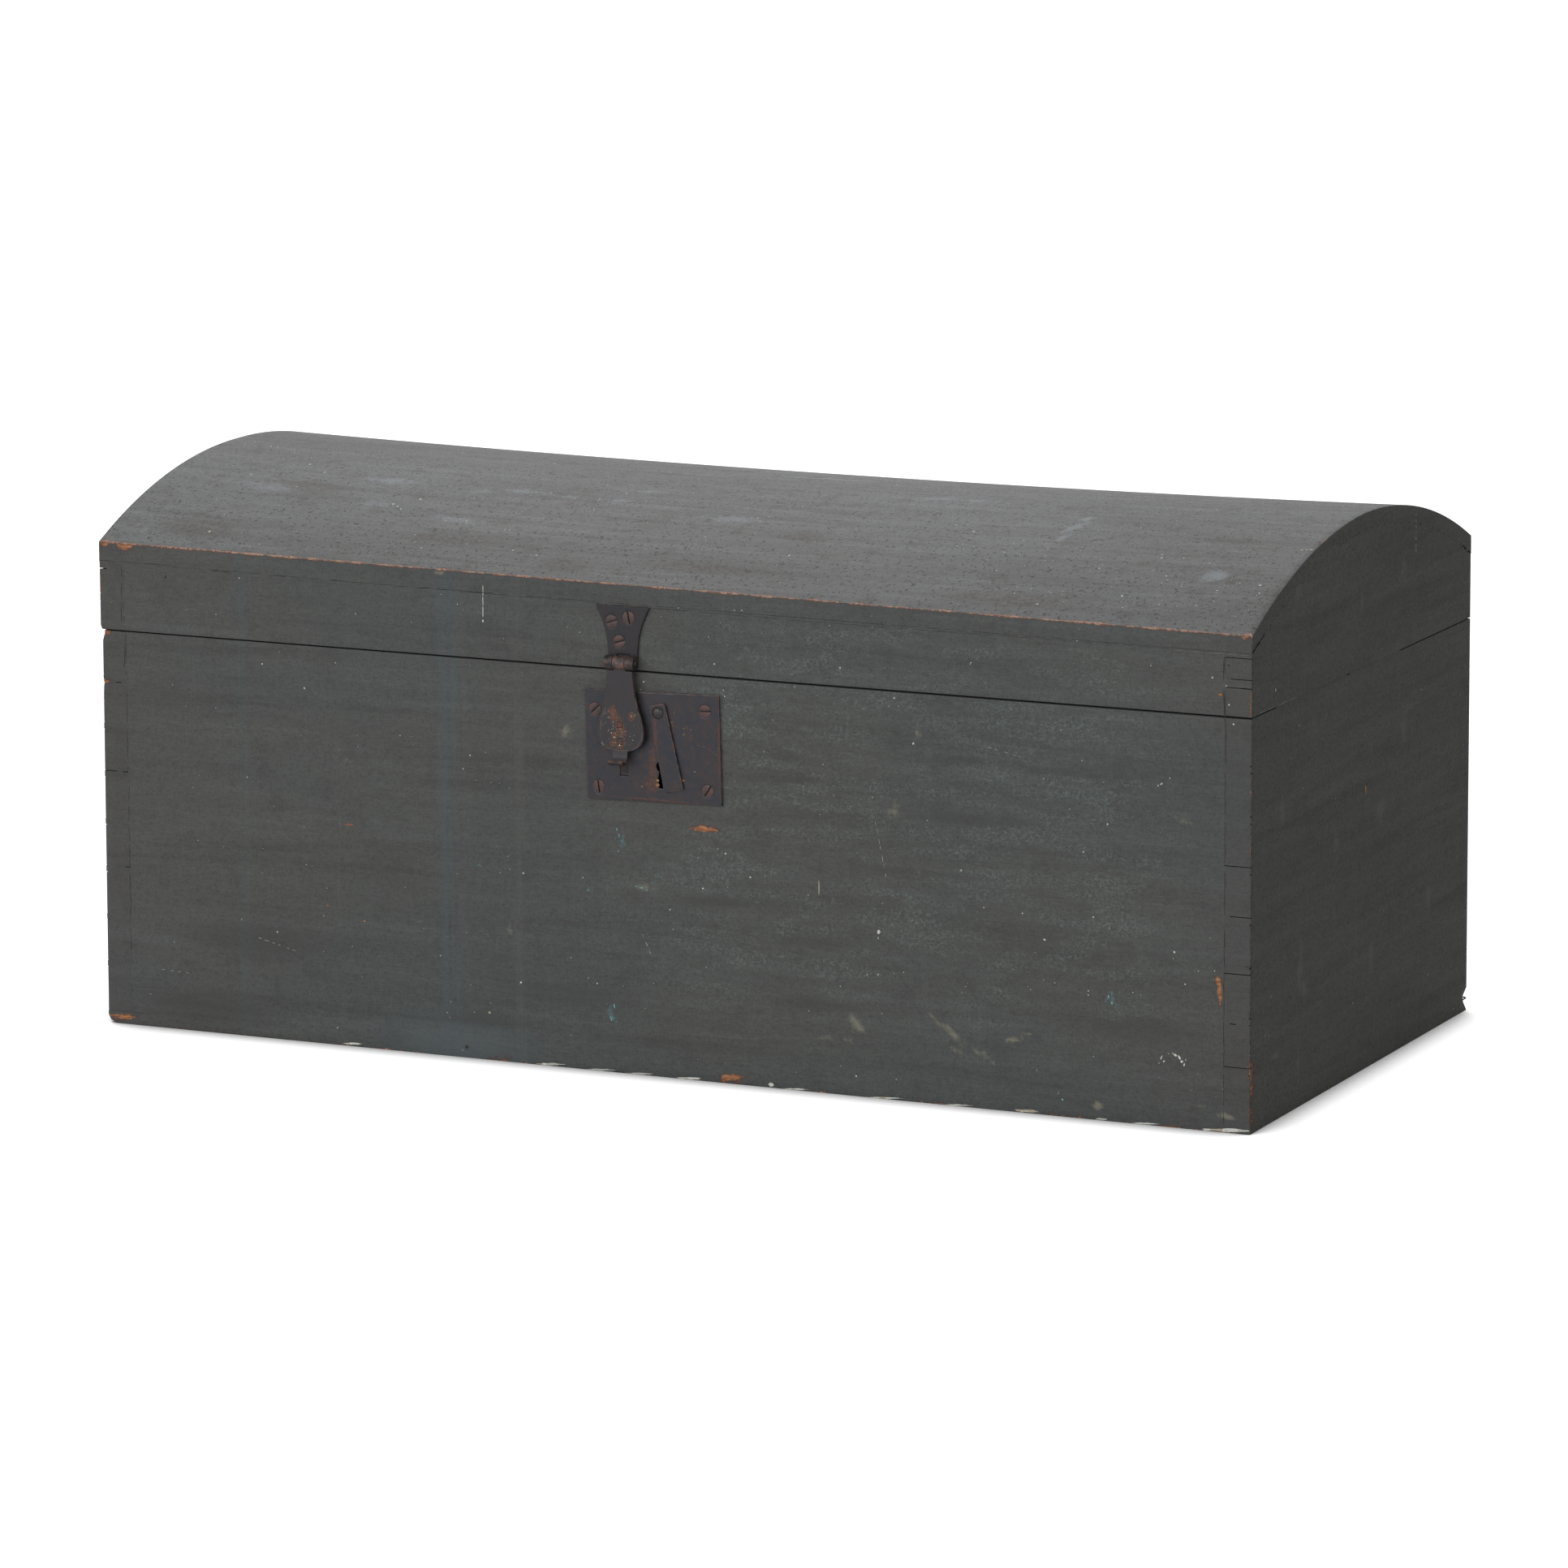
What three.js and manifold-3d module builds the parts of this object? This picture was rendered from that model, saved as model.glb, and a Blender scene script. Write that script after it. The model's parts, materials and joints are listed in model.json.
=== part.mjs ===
// A dome top trunk: a dovetailed case of boards, an arched lid on two back hinges, a hasp and a plate lock.
// Millimetres. +X runs along the front to the right, -Y faces the front and +Z is up.
// The origin is the centre of the underside.

import * as THREE from 'three';
import { mergeVertices } from 'three/addons/utils/BufferGeometryUtils.js';
import Module from 'manifold-3d';

const wasm = await Module();
wasm.setup();

// Driving dimensions.

// The whole trunk.
const trunkLength = 711;
const trunkDepth = 342;
const seamHeight = 231;
const domeEdgeHeight = 48;
const domeRise = 39;

// The boards.
const endThickness = 15.5;
const sideThickness = 12.5;
const bottomThickness = 7;
const domeThickness = 9.5;

// Clearances: the open seam, tight wood joints, metal on its seat, and metal that turns or slides.
const seamGap = 0.5;
const woodGap = 0.15;
const seatGap = 0.05;
const runningGap = 0.3;
const cutOverrun = 3;

// Dovetails: pins on the front and back boards, narrow at the outer face.
const pinPitch = 28;
const pinTipHeight = 3.4;
const pinFlare = 1.5;
const lidPinMiddle = 18.5;
const lidPinTipHeight = 4.4;
const lidHalfPinHeight = 3;

// Nails through the dome board and the bottom board.
const nailHeadRadius = 2.1;
const nailHeadThickness = 1;
const nailShankRadius = 1.1;
const nailBite = 20;
const nailSink = 0.3;
const domeNailPlaceShares = [-0.88, -0.46, 0.18, 0.86];
const bottomNailPlaceShares = [-0.93, 0, 0.93];

// Wood screws, all of one size.
const screwHeadRadius = 3.8;
const screwShankRadius = 1.8;
const screwConeLength = 1.2;
const screwTipLength = 3;
const screwLength = 10.5;
const screwSlotWidth = 0.9;
const screwSlotDepth = 0.7;

// The lock plate on the front board, its middle measured from the middle of the front and below the seam.
// Its side margin is how far it stands out beyond the lock case, where its screws are.
const plateSideMargin = 13.5;
const plateHeight = 62.5;
const plateThickness = 1.5;
const plateOffset = -3.2;
const plateDrop = 42;
const plateTiltDegrees = 1.35;
const plateScrewPlaceShares = [[-0.85, 0.64], [0.79, 0.7], [-0.83, -0.77], [0.8, -0.75]];
const plateScrewSlotDegrees = [40, 3, 97, 55];

// The slot in the plate that the staple enters.
const slotWidth = 5.8;
const slotHeight = 32;
const slotHeadroom = 1.2;

// The keyhole and its cover, measured from the middle of the plate.
const keyholeOffset = 4.3;
const keyholeDrop = 11;
const keyholeHeadRadius = 3;
const keyholeWaist = 2.2;
const keyholeFootWidth = 5.2;
const keyholeLength = 12.5;
const keyPinRadius = 1.4;
const coverPivotRise = 19.9;
const coverTopWidth = 10.5;
const coverFootWidth = 12;
const coverLength = 45;
const coverTopRise = 4.6;
const coverCornerRadius = 2;
const coverThickness = 1.2;
const coverTiltDegrees = 8.65;
const coverRivetRadius = 1.5;
const coverRivetHeadRadius = 3.4;
const coverRivetHeadHeight = 1.3;
const rivetTailRadius = 2.4;
const rivetTailThickness = 0.8;

// The lock behind the plate. Its case is as wide as the thrown bolt and the rooms at its two ends need.
const boltTipRoom = 4.55;
const boltEndRoom = 3.3;
const lockCaseTop = 17;
const lockCaseBottom = -26.5;
const lockCaseDepth = 14;
const lockCaseWall = 1.2;
const lockRivetRadius = 1.3;
const lockRivetInset = 3.6;
const mortiseGap = 0.5;
const boltThickness = 3;
const boltTravel = 7.5;
const boltNoseLength = 7.2;
const boltNosePlay = 0.65;
const boltBodyDepth = 8.85;
const talonWidth = 5;
const talonDepth = 2.2;
const keeperWidth = 4;
const keeperWall = 1.2;
const keeperInset = 1.1;
const springThickness = 0.8;
const springAnchorSize = 3;
const springRise = 3.2;

// The hasp on the lid: a flared leaf, a barrel and a pear-shaped strap with a staple.
const haspOffset = -21.5;
const haspAxisRise = 4.5;
const haspBarrelRadius = 4;
const haspBarrelStandoff = 4.2;
const haspPinRadius = 1.4;
const haspOuterKnuckle = 5.2;
const haspCentreKnuckle = 7.2;
const haspLeafLength = 31.5;
const haspLeafNeckWidth = 18.1;
const haspLeafEndWidth = 33;
const haspLeafThickness = 1.5;
const haspScrewPlaceShares = [[-0.41, 0.72], [0.23, 0.81], [-0.13, 0.365]];
const haspScrewSlotDegrees = [18, 101, 17];
const strapThickness = 2;
const strapTopWidth = 15.3;
const pearWidth = 29;
const pearWidestDrop = 40.5;
const pearBottomDrop = 50.3;
const tabWidth = 9;
const tabThickness = 1.8;
const tabReach = 8.6;
const tabDrop = 7;
const stapleWidth = 4.6;
const stapleHeight = 12.5;
const stapleDepth = 14;
const stapleBar = 3;
const stapleDrop = 33.5;
const stapleTenonSize = 2.8;

// The two back hinges, their middles measured from the ends of the trunk.
const hingeInset = 120.5;
const hingeBarrelRadius = 3.6;
const hingeBarrelStandoff = 3.8;
const hingePinRadius = 1.3;
const hingeOuterKnuckle = 7.5;
const hingeCentreKnuckle = 8.4;
const hingeNeckWidth = 24;
const hingeEndWidth = 38;
const hingeLeafThickness = 1.6;
const hingeUpperLength = 32;
const hingeLowerLength = 42;
const hingeScrewPlaceShares = [[-0.5, 0.8], [0.5, 0.8]];
const hingeScrewSlotDegrees = [12, 75];

// Where the flare of a leaf bends, along its run and across its widening.
const flareStartShare = 0.19;
const flareBendShares = [[0.08, 0.4], [0.28, 0.61]];

// Faces round a curve.
const arcSegments = 18;
const curveSegments = 6;
const roundSides = 16;
const nailSides = 8;
const pilotSides = 8;
const rivetDomeSteps = 3;

// Worked out from the sizes above.
const halfLength = trunkLength / 2;
const halfDepth = trunkDepth / 2;
const outerRadius = (halfDepth ** 2 + domeRise ** 2) / (2 * domeRise);
const innerRadius = outerRadius - domeThickness;
const arcCentre = domeEdgeHeight + domeRise - outerRadius;
const caseFoot = bottomThickness + woodGap;
const lidFoot = seamHeight + seamGap;
const shoulderDepth = halfDepth - sideThickness;
const innerHalfLength = halfLength - endThickness;
const slotMiddle = haspOffset - plateOffset;
const boltTip = slotMiddle + slotWidth / 2 + boltNosePlay;
const lockHalfWidth = boltTravel - boltTip + boltTipRoom + lockCaseWall;
const boltEnd = lockHalfWidth - lockCaseWall - boltEndRoom;
const rearKeeperPlace = boltEnd - boltTravel - keeperWidth;
const plateWidth = 2 * (lockHalfWidth + plateSideMargin);
const hingeOffset = halfLength - hingeInset;

// Helpers that make, place and combine solids.

function solidOf(geometry) {
  const bare = geometry.clone();
  bare.deleteAttribute('normal');
  bare.deleteAttribute('uv');
  const welded = mergeVertices(bare);
  const corners = welded.index.array;
  const kept = [];
  for (let i = 0; i < corners.length; i += 3) {
    const triangle = [corners[i], corners[i + 1], corners[i + 2]];
    if (new Set(triangle).size === triangle.length) kept.push(...triangle);
  }
  return new wasm.Manifold(new wasm.Mesh({
    numProp: 3,
    vertProperties: welded.attributes.position.array,
    triVerts: new Uint32Array(kept),
  }));
}

function geometryOf(solid) {
  const mesh = solid.getMesh();
  const geometry = new THREE.BufferGeometry();
  geometry.setAttribute('position', new THREE.BufferAttribute(new Float32Array(mesh.vertProperties), 3));
  geometry.setIndex(new THREE.BufferAttribute(new Uint32Array(mesh.triVerts), 1));
  geometry.computeVertexNormals();
  return geometry;
}

function joined(...geometries) {
  let solid = solidOf(geometries[0]);
  for (const geometry of geometries.slice(1)) {
    solid = solid.add(solidOf(geometry));
  }
  return geometryOf(solid);
}

function cut(geometry, cutters) {
  let solid = solidOf(geometry);
  for (const cutter of cutters) {
    solid = solid.subtract(solidOf(cutter));
  }
  return geometryOf(solid);
}

// A shape drawn in X and Z as a plate from y to y + thickness.
function uprightPlate(shape, y, thickness, segments = curveSegments) {
  const geometry = new THREE.ExtrudeGeometry(shape, {
    depth: thickness, bevelEnabled: false, curveSegments: segments,
  });
  geometry.rotateX(Math.PI / 2);
  return geometry.translate(0, y + thickness, 0);
}

// A section drawn in Y and Z, run along X from x to x + length.
const sectionToX = new THREE.Matrix4().makeBasis(
  new THREE.Vector3(0, 1, 0), new THREE.Vector3(0, 0, 1), new THREE.Vector3(1, 0, 0),
);

function runAlongX(shape, x, length, segments = curveSegments) {
  const geometry = new THREE.ExtrudeGeometry(shape, {
    depth: length, bevelEnabled: false, curveSegments: segments,
  });
  geometry.applyMatrix4(sectionToX);
  return geometry.translate(x, 0, 0);
}

function block(x, y, z) {
  const geometry = new THREE.BoxGeometry(x[1] - x[0], y[1] - y[0], z[1] - z[0]);
  return geometry.translate((x[0] + x[1]) / 2, (y[0] + y[1]) / 2, (z[0] + z[1]) / 2);
}

function outline(points) {
  return new THREE.Shape(points.map(([across, up]) => new THREE.Vector2(across, up)));
}

// A piece turned about the Y axis from pairs of radius and y, its outer end first.
function turned(profile, sides = roundSides) {
  return new THREE.LatheGeometry(profile.map(([radius, y]) => new THREE.Vector2(radius, y)), sides);
}

function rodAlongX(radius, x, length) {
  const geometry = new THREE.CylinderGeometry(radius, radius, length, roundSides);
  geometry.rotateZ(Math.PI / 2);
  return geometry.translate(x + length / 2, 0, 0);
}

function knuckle(outer, bore, x, length) {
  const ring = new THREE.Shape();
  ring.absarc(0, 0, outer, 0, 2 * Math.PI);
  const hole = new THREE.Path();
  hole.absarc(0, 0, bore, 0, 2 * Math.PI);
  ring.holes.push(hole);
  return runAlongX(ring, x, length, roundSides / 2);
}

function degrees(value) {
  return THREE.MathUtils.degToRad(value);
}

function piece(name, geometry, finish) {
  const mesh = new THREE.Mesh(geometry, new THREE.MeshStandardMaterial(finish));
  mesh.name = name;
  return mesh;
}

// Several pieces of one name, numbered from 1.
function pieces(name, geometries, finish) {
  return geometries.map((geometry, i) => piece(`${name}_${i + 1}`, geometry, finish));
}

// Finishes.
const paintedWood = { color: 0x4b4d4b, roughness: 0.6, metalness: 0 };
const blackIron = { color: 0x3b373a, roughness: 0.5, metalness: 0.6 };
const rustyIron = { color: 0x5c433b, roughness: 0.7, metalness: 0.4 };
const brightIron = { color: 0x77736e, roughness: 0.4, metalness: 0.8 };
const nailIron = { color: 0x3a3532, roughness: 0.7, metalness: 0.5 };

// Screws and nails. Each lies along +Y with its head at y = 0, facing -Y.

function screw(slotDegrees) {
  const slot = block(
    [-screwHeadRadius - cutOverrun, screwHeadRadius + cutOverrun],
    [-cutOverrun, screwSlotDepth],
    [-screwSlotWidth / 2, screwSlotWidth / 2],
  );
  slot.rotateY(-degrees(slotDegrees));
  const body = turned([
    [0, 0],
    [screwHeadRadius, 0],
    [screwShankRadius, screwConeLength],
    [screwShankRadius, screwLength - screwTipLength],
    [0, screwLength],
  ]);
  return cut(body, [slot]);
}

// The countersunk hole for a screw in a metal leaf or plate.
function screwHole() {
  return turned([
    [0, -cutOverrun],
    [screwHeadRadius + runningGap, -cutOverrun],
    [screwHeadRadius + runningGap, 0],
    [screwShankRadius + runningGap, screwConeLength],
    [screwShankRadius + runningGap, screwLength],
    [0, screwLength],
  ]);
}

// The plain hole for a screw in wood, measured from the same head as the screw.
function pilotHole() {
  const radius = (screwShankRadius + runningGap) / Math.cos(Math.PI / pilotSides);
  return turned([
    [0, screwConeLength],
    [radius, screwConeLength],
    [radius, screwLength + runningGap],
    [0, screwLength + runningGap],
  ], pilotSides);
}

function nailProfile(shankLength, grow) {
  const mouth = grow > 0 ? [[0, -cutOverrun], [nailHeadRadius + grow, -cutOverrun]] : [[0, 0]];
  return [
    ...mouth,
    [nailHeadRadius + grow, 0],
    [nailHeadRadius + grow, nailHeadThickness + grow],
    [nailShankRadius + grow, nailHeadThickness + grow],
    [nailShankRadius + grow, shankLength],
    [0, shankLength + nailShankRadius + grow],
  ];
}

// The places of screws on a plate, from shares of its half width and of its height.
function screwPlaces(shares, halfWidth, height) {
  return shares.map(([across, up]) => [across * halfWidth, up * height]);
}

// The case: four dovetailed boards on a nailed bottom.

// One pin's section. It is narrow at the outer face and flares towards the shoulder.
function pinSection(side, low, high, grow) {
  const face = side * (halfDepth + (grow > 0 ? cutOverrun : 0));
  const shoulder = side * (shoulderDepth - grow);
  const points = [
    [face, low - grow],
    [shoulder, low - pinFlare - grow],
    [shoulder, high + pinFlare + grow],
    [face, high + grow],
  ];
  return outline(side < 0 ? points : points.reverse());
}

function casePins() {
  const pins = [];
  for (let middle = seamHeight - pinPitch; middle - pinPitch / 2 > caseFoot; middle -= pinPitch) {
    pins.push([middle - pinTipHeight / 2, middle + pinTipHeight / 2]);
  }
  return pins;
}

function caseSideBoard(side) {
  const between = innerHalfLength - woodGap;
  const outerFace = side * halfDepth;
  const innerFace = side * shoulderDepth;
  const y = [Math.min(outerFace, innerFace), Math.max(outerFace, innerFace)];
  const body = block([-between, between], y, [caseFoot, seamHeight]);
  const pins = casePins().map(([low, high]) => (
    runAlongX(pinSection(side, low, high, 0), -halfLength, trunkLength)
  ));
  return joined(body, ...pins);
}

function caseEndBoard(end) {
  const outerFace = end * halfLength;
  const innerFace = end * innerHalfLength;
  const x = [Math.min(outerFace, innerFace), Math.max(outerFace, innerFace)];
  const body = block(x, [-halfDepth, halfDepth], [caseFoot, seamHeight]);
  const sockets = [];
  for (const side of [-1, 1]) {
    for (const [low, high] of casePins()) {
      const section = pinSection(side, low, high, woodGap);
      sockets.push(runAlongX(section, x[0] - cutOverrun, endThickness + 2 * cutOverrun));
    }
  }
  return cut(body, sockets);
}

// Nails driven up through the bottom board, along the lower edges of the front and back boards.
function bottomNails(grow) {
  const nails = [];
  const row = shoulderDepth + sideThickness / 2;
  for (const y of [-row, row]) {
    for (const share of bottomNailPlaceShares) {
      const nail = turned(nailProfile(bottomThickness + nailBite, grow), nailSides);
      nail.rotateX(Math.PI / 2);
      nails.push(nail.translate(share * innerHalfLength, y, nailSink));
    }
  }
  return nails;
}

// The lock group's frame: its middle is the plate's middle on the front face, y = 0 is the board's face,
// +Y goes into the wood, and the whole lock leans as the plate does.
const lockFrame = new THREE.Group();
lockFrame.position.set(plateOffset, -halfDepth, seamHeight - plateDrop);
lockFrame.rotation.y = -degrees(plateTiltDegrees);
lockFrame.updateMatrix();

const plateFront = -plateThickness - seatGap;

// The staple's height, seen from the middle of the plate.
const stapleTop = plateDrop + seamGap + haspAxisRise - stapleDrop;
const stapleFoot = stapleTop - stapleHeight;
const slotTop = stapleTop + slotHeadroom;

function plateScrewPlaces() {
  return screwPlaces(plateScrewPlaceShares, plateWidth / 2, plateHeight / 2);
}

function plateScrews() {
  return plateScrewPlaces().map(([x, z], i) => (
    screw(plateScrewSlotDegrees[i]).translate(x, plateFront, z)
  ));
}

function plateHoles(hole) {
  return plateScrewPlaces().map(([x, z]) => hole().translate(x, plateFront, z));
}

// The hole through the front board for the lock, and a hollow for the tail of the cover's rivet.
function mortise() {
  const halfWidth = lockHalfWidth + mortiseGap;
  const through = block(
    [-halfWidth, halfWidth],
    [-cutOverrun, sideThickness + cutOverrun],
    [lockCaseBottom - mortiseGap, lockCaseTop + mortiseGap],
  );
  const tailRadius = rivetTailRadius + mortiseGap;
  const tailHollow = turned([
    [0, -cutOverrun],
    [tailRadius, -cutOverrun],
    [tailRadius, rivetTailThickness + mortiseGap],
    [0, rivetTailThickness + mortiseGap],
  ]);
  tailHollow.translate(keyholeOffset, 0, coverPivotRise);
  return [through, tailHollow];
}

function inLockFrame(geometries) {
  return geometries.map((geometry) => geometry.applyMatrix4(lockFrame.matrix));
}

function caseBoards() {
  const group = new THREE.Group();
  const nailHoles = bottomNails(runningGap);
  const lockCuts = inLockFrame([...mortise(), ...plateHoles(pilotHole)]);
  const base = block([-halfLength, halfLength], [-halfDepth, halfDepth], [0, bottomThickness]);
  group.add(piece('front_board', cut(caseSideBoard(-1), [...lockCuts, ...nailHoles]), paintedWood));
  group.add(piece(
    'back_board', cut(caseSideBoard(1), [...lowerHingeScrewHoles(), ...nailHoles]), paintedWood,
  ));
  group.add(piece('left_end_board', caseEndBoard(-1), paintedWood));
  group.add(piece('right_end_board', caseEndBoard(1), paintedWood));
  group.add(piece('bottom_board', cut(base, nailHoles), paintedWood));
  group.add(...pieces('bottom_nail', bottomNails(0), nailIron));
  return group;
}

// The lock: plate, case, bolt, keepers, spring and key pin, in the lock frame.

function keyholePath() {
  const path = new THREE.Path();
  const top = -keyholeDrop;
  const foot = top - keyholeLength;
  const waistAngle = Math.asin(keyholeWaist / 2 / keyholeHeadRadius);
  const waistDrop = keyholeHeadRadius * Math.cos(waistAngle);
  const footRadius = keyholeFootWidth / 2;
  path.moveTo(keyholeOffset + keyholeWaist / 2, top - waistDrop);
  path.absarc(keyholeOffset, top, keyholeHeadRadius, waistAngle - Math.PI / 2, 3 * Math.PI / 2 - waistAngle);
  path.lineTo(keyholeOffset - footRadius, foot + footRadius);
  path.absarc(keyholeOffset, foot + footRadius, footRadius, Math.PI, 2 * Math.PI);
  path.lineTo(keyholeOffset + keyholeWaist / 2, top - waistDrop);
  return path;
}

function circlePath(x, z, radius) {
  const path = new THREE.Path();
  path.absarc(x, z, radius, 0, 2 * Math.PI);
  return path;
}

function rectanglePath(x, z) {
  const path = new THREE.Path();
  path.moveTo(x[0], z[0]);
  path.lineTo(x[1], z[0]);
  path.lineTo(x[1], z[1]);
  path.lineTo(x[0], z[1]);
  path.closePath();
  return path;
}

function lockPlate() {
  const shape = outline([
    [-plateWidth / 2, -plateHeight / 2],
    [plateWidth / 2, -plateHeight / 2],
    [plateWidth / 2, plateHeight / 2],
    [-plateWidth / 2, plateHeight / 2],
  ]);
  shape.holes.push(keyholePath());
  shape.holes.push(rectanglePath(
    [slotMiddle - slotWidth / 2, slotMiddle + slotWidth / 2],
    [slotTop - slotHeight, slotTop],
  ));
  shape.holes.push(circlePath(keyholeOffset, coverPivotRise, coverRivetRadius + runningGap));
  return cut(uprightPlate(shape, plateFront, plateThickness), plateHoles(screwHole));
}

// Two rivets in opposite corners of the lock case.
function lockRivetPlaces() {
  const across = lockHalfWidth - lockRivetInset;
  return [[-across, lockCaseBottom + lockRivetInset], [across, lockCaseTop - lockRivetInset]];
}

// A rod from behind the plate through the back of the lock case, with a head outside it.
function lockRod(radius, grow) {
  return turned([
    [0, grow > 0 ? lockCaseDepth - lockCaseWall - cutOverrun : runningGap],
    [radius + grow, grow > 0 ? lockCaseDepth - lockCaseWall - cutOverrun : runningGap],
    [radius + grow, lockCaseDepth + seatGap],
    [rivetTailRadius, lockCaseDepth + seatGap],
    [rivetTailRadius, lockCaseDepth + seatGap + rivetTailThickness],
    [0, lockCaseDepth + seatGap + rivetTailThickness],
  ]);
}

function lockCase() {
  const shell = block(
    [-lockHalfWidth, lockHalfWidth], [seatGap, lockCaseDepth], [lockCaseBottom, lockCaseTop],
  );
  const hollow = block(
    [-lockHalfWidth + lockCaseWall, lockHalfWidth - lockCaseWall],
    [-cutOverrun, lockCaseDepth - lockCaseWall],
    [lockCaseBottom + lockCaseWall, lockCaseTop - lockCaseWall],
  );
  const rivetHoles = lockRivetPlaces().map(([x, z]) => (
    lockRod(lockRivetRadius, runningGap).translate(x, 0, z)
  ));
  const pinHole = lockRod(keyPinRadius, runningGap).translate(keyholeOffset, 0, -keyholeDrop);
  return cut(shell, [hollow, ...rivetHoles, pinHole]);
}

// The bolt's nose enters the staple's eye. Its body carries the notch that the key turns in.
const noseTop = stapleTop - stapleBar - boltNosePlay;
const noseFoot = stapleFoot + stapleBar + boltNosePlay;
const bodyFoot = noseTop - boltBodyDepth;

function lockBolt() {
  const talonLeft = keyholeOffset - talonWidth / 2;
  const shape = outline([
    [boltTip, noseFoot],
    [boltTip + boltNoseLength, noseFoot],
    [boltTip + boltNoseLength, bodyFoot],
    [talonLeft, bodyFoot],
    [talonLeft, bodyFoot + talonDepth],
    [talonLeft + talonWidth, bodyFoot + talonDepth],
    [talonLeft + talonWidth, bodyFoot],
    [boltEnd, bodyFoot],
    [boltEnd, noseTop],
    [boltTip, noseTop],
  ]);
  return uprightPlate(shape, runningGap, boltThickness);
}

// A bridge, fixed to the back of the plate, that the bolt slides in.
function boltKeeper(x) {
  const inner = [bodyFoot - runningGap, noseTop + runningGap];
  const innerDepth = 2 * runningGap + boltThickness;
  const section = outline([
    [seatGap, inner[0] - keeperWall],
    [innerDepth + keeperWall, inner[0] - keeperWall],
    [innerDepth + keeperWall, inner[1] + keeperWall],
    [seatGap, inner[1] + keeperWall],
    [seatGap, inner[1]],
    [innerDepth, inner[1]],
    [innerDepth, inner[0]],
    [seatGap, inner[0]],
  ]);
  return runAlongX(section, x, keeperWidth);
}

// A bowed leaf spring that presses on the bolt's upper edge.
function boltSpring() {
  const foot = noseTop + runningGap;
  const left = boltTip + keeperInset + keeperWidth + springAnchorSize;
  const right = rearKeeperPlace - runningGap;
  const middle = (left + right) / 2;
  const top = foot + springRise;
  const bow = foot - springRise + springThickness;
  const shape = new THREE.Shape();
  shape.moveTo(left - springAnchorSize, top);
  shape.lineTo(left, top);
  shape.quadraticCurveTo(middle, bow, right, top);
  shape.lineTo(right, top + springThickness);
  shape.quadraticCurveTo(middle, bow + springThickness, left, top + springThickness);
  shape.lineTo(left - springAnchorSize, top + springThickness);
  return uprightPlate(shape, seatGap, boltThickness);
}

// The cover's rivet: a domed head over the cover and a tail behind the plate.
function coverRivet() {
  const headBack = plateFront - 2 * runningGap - coverThickness;
  const profile = [];
  for (let i = 0; i <= rivetDomeSteps; i += 1) {
    const angle = (Math.PI / 2) * (i / rivetDomeSteps);
    profile.push([coverRivetHeadRadius * Math.sin(angle), headBack - coverRivetHeadHeight * Math.cos(angle)]);
  }
  profile[0][0] = 0;
  profile.push([coverRivetRadius, headBack]);
  profile.push([coverRivetRadius, seatGap]);
  profile.push([rivetTailRadius, seatGap]);
  profile.push([rivetTailRadius, seatGap + rivetTailThickness]);
  profile.push([0, seatGap + rivetTailThickness]);
  return turned(profile);
}

// The cover, drawn hanging straight from its pivot.
function keyholeCover() {
  const shape = new THREE.Shape();
  const top = coverTopWidth / 2;
  const foot = coverFootWidth / 2;
  const corner = [top - coverCornerRadius, coverTopRise - coverCornerRadius];
  shape.moveTo(-foot, -coverLength);
  shape.lineTo(foot, -coverLength);
  shape.lineTo(top, corner[1]);
  shape.absarc(corner[0], corner[1], coverCornerRadius, 0, Math.PI / 2);
  shape.absarc(-corner[0], corner[1], coverCornerRadius, Math.PI / 2, Math.PI);
  shape.holes.push(circlePath(0, 0, coverRivetRadius + runningGap));
  return uprightPlate(shape, plateFront - runningGap - coverThickness, coverThickness);
}

function lock() {
  const group = lockFrame.clone();
  const rivets = lockRivetPlaces().map(([x, z]) => lockRod(lockRivetRadius, 0).translate(x, 0, z));
  const keepers = [boltTip + keeperInset, rearKeeperPlace].map(boltKeeper);
  const keyPin = lockRod(keyPinRadius, 0).translate(keyholeOffset, 0, -keyholeDrop);
  group.add(piece('lock_plate', lockPlate(), blackIron));
  group.add(...pieces('lock_plate_screw', plateScrews(), rustyIron));
  group.add(piece('lock_case', lockCase(), brightIron));
  group.add(...pieces('lock_case_rivet', rivets, brightIron));
  group.add(piece('key_pin', keyPin, brightIron));
  group.add(piece('lock_bolt', lockBolt(), brightIron));
  group.add(...pieces('bolt_keeper', keepers, brightIron));
  group.add(piece('bolt_spring', boltSpring(), brightIron));
  const coverGroup = new THREE.Group();
  coverGroup.position.set(keyholeOffset, 0, coverPivotRise);
  const cover = piece('keyhole_cover', keyholeCover(), blackIron);
  cover.rotation.y = -degrees(coverTiltDegrees);
  coverGroup.add(cover);
  coverGroup.add(piece('keyhole_cover_rivet', coverRivet(), blackIron));
  group.add(coverGroup);
  return group;
}

// Leaves with knuckles. The barrel's axis is X at the origin, the leaf rises along +Z,
// and it lies on a face at y = standoff.

const haspSizes = {
  neckWidth: haspLeafNeckWidth, endWidth: haspLeafEndWidth,
  thickness: haspLeafThickness, standoff: haspBarrelStandoff, barrel: haspBarrelRadius,
  pin: haspPinRadius, outerKnuckle: haspOuterKnuckle, centreKnuckle: haspCentreKnuckle,
};

const hingeSizes = {
  neckWidth: hingeNeckWidth, endWidth: hingeEndWidth,
  thickness: hingeLeafThickness, standoff: hingeBarrelStandoff, barrel: hingeBarrelRadius,
  pin: hingePinRadius, outerKnuckle: hingeOuterKnuckle, centreKnuckle: hingeCentreKnuckle,
};

function barrelLength(sizes) {
  return sizes.centreKnuckle + 2 * runningGap + 2 * sizes.outerKnuckle;
}

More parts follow.
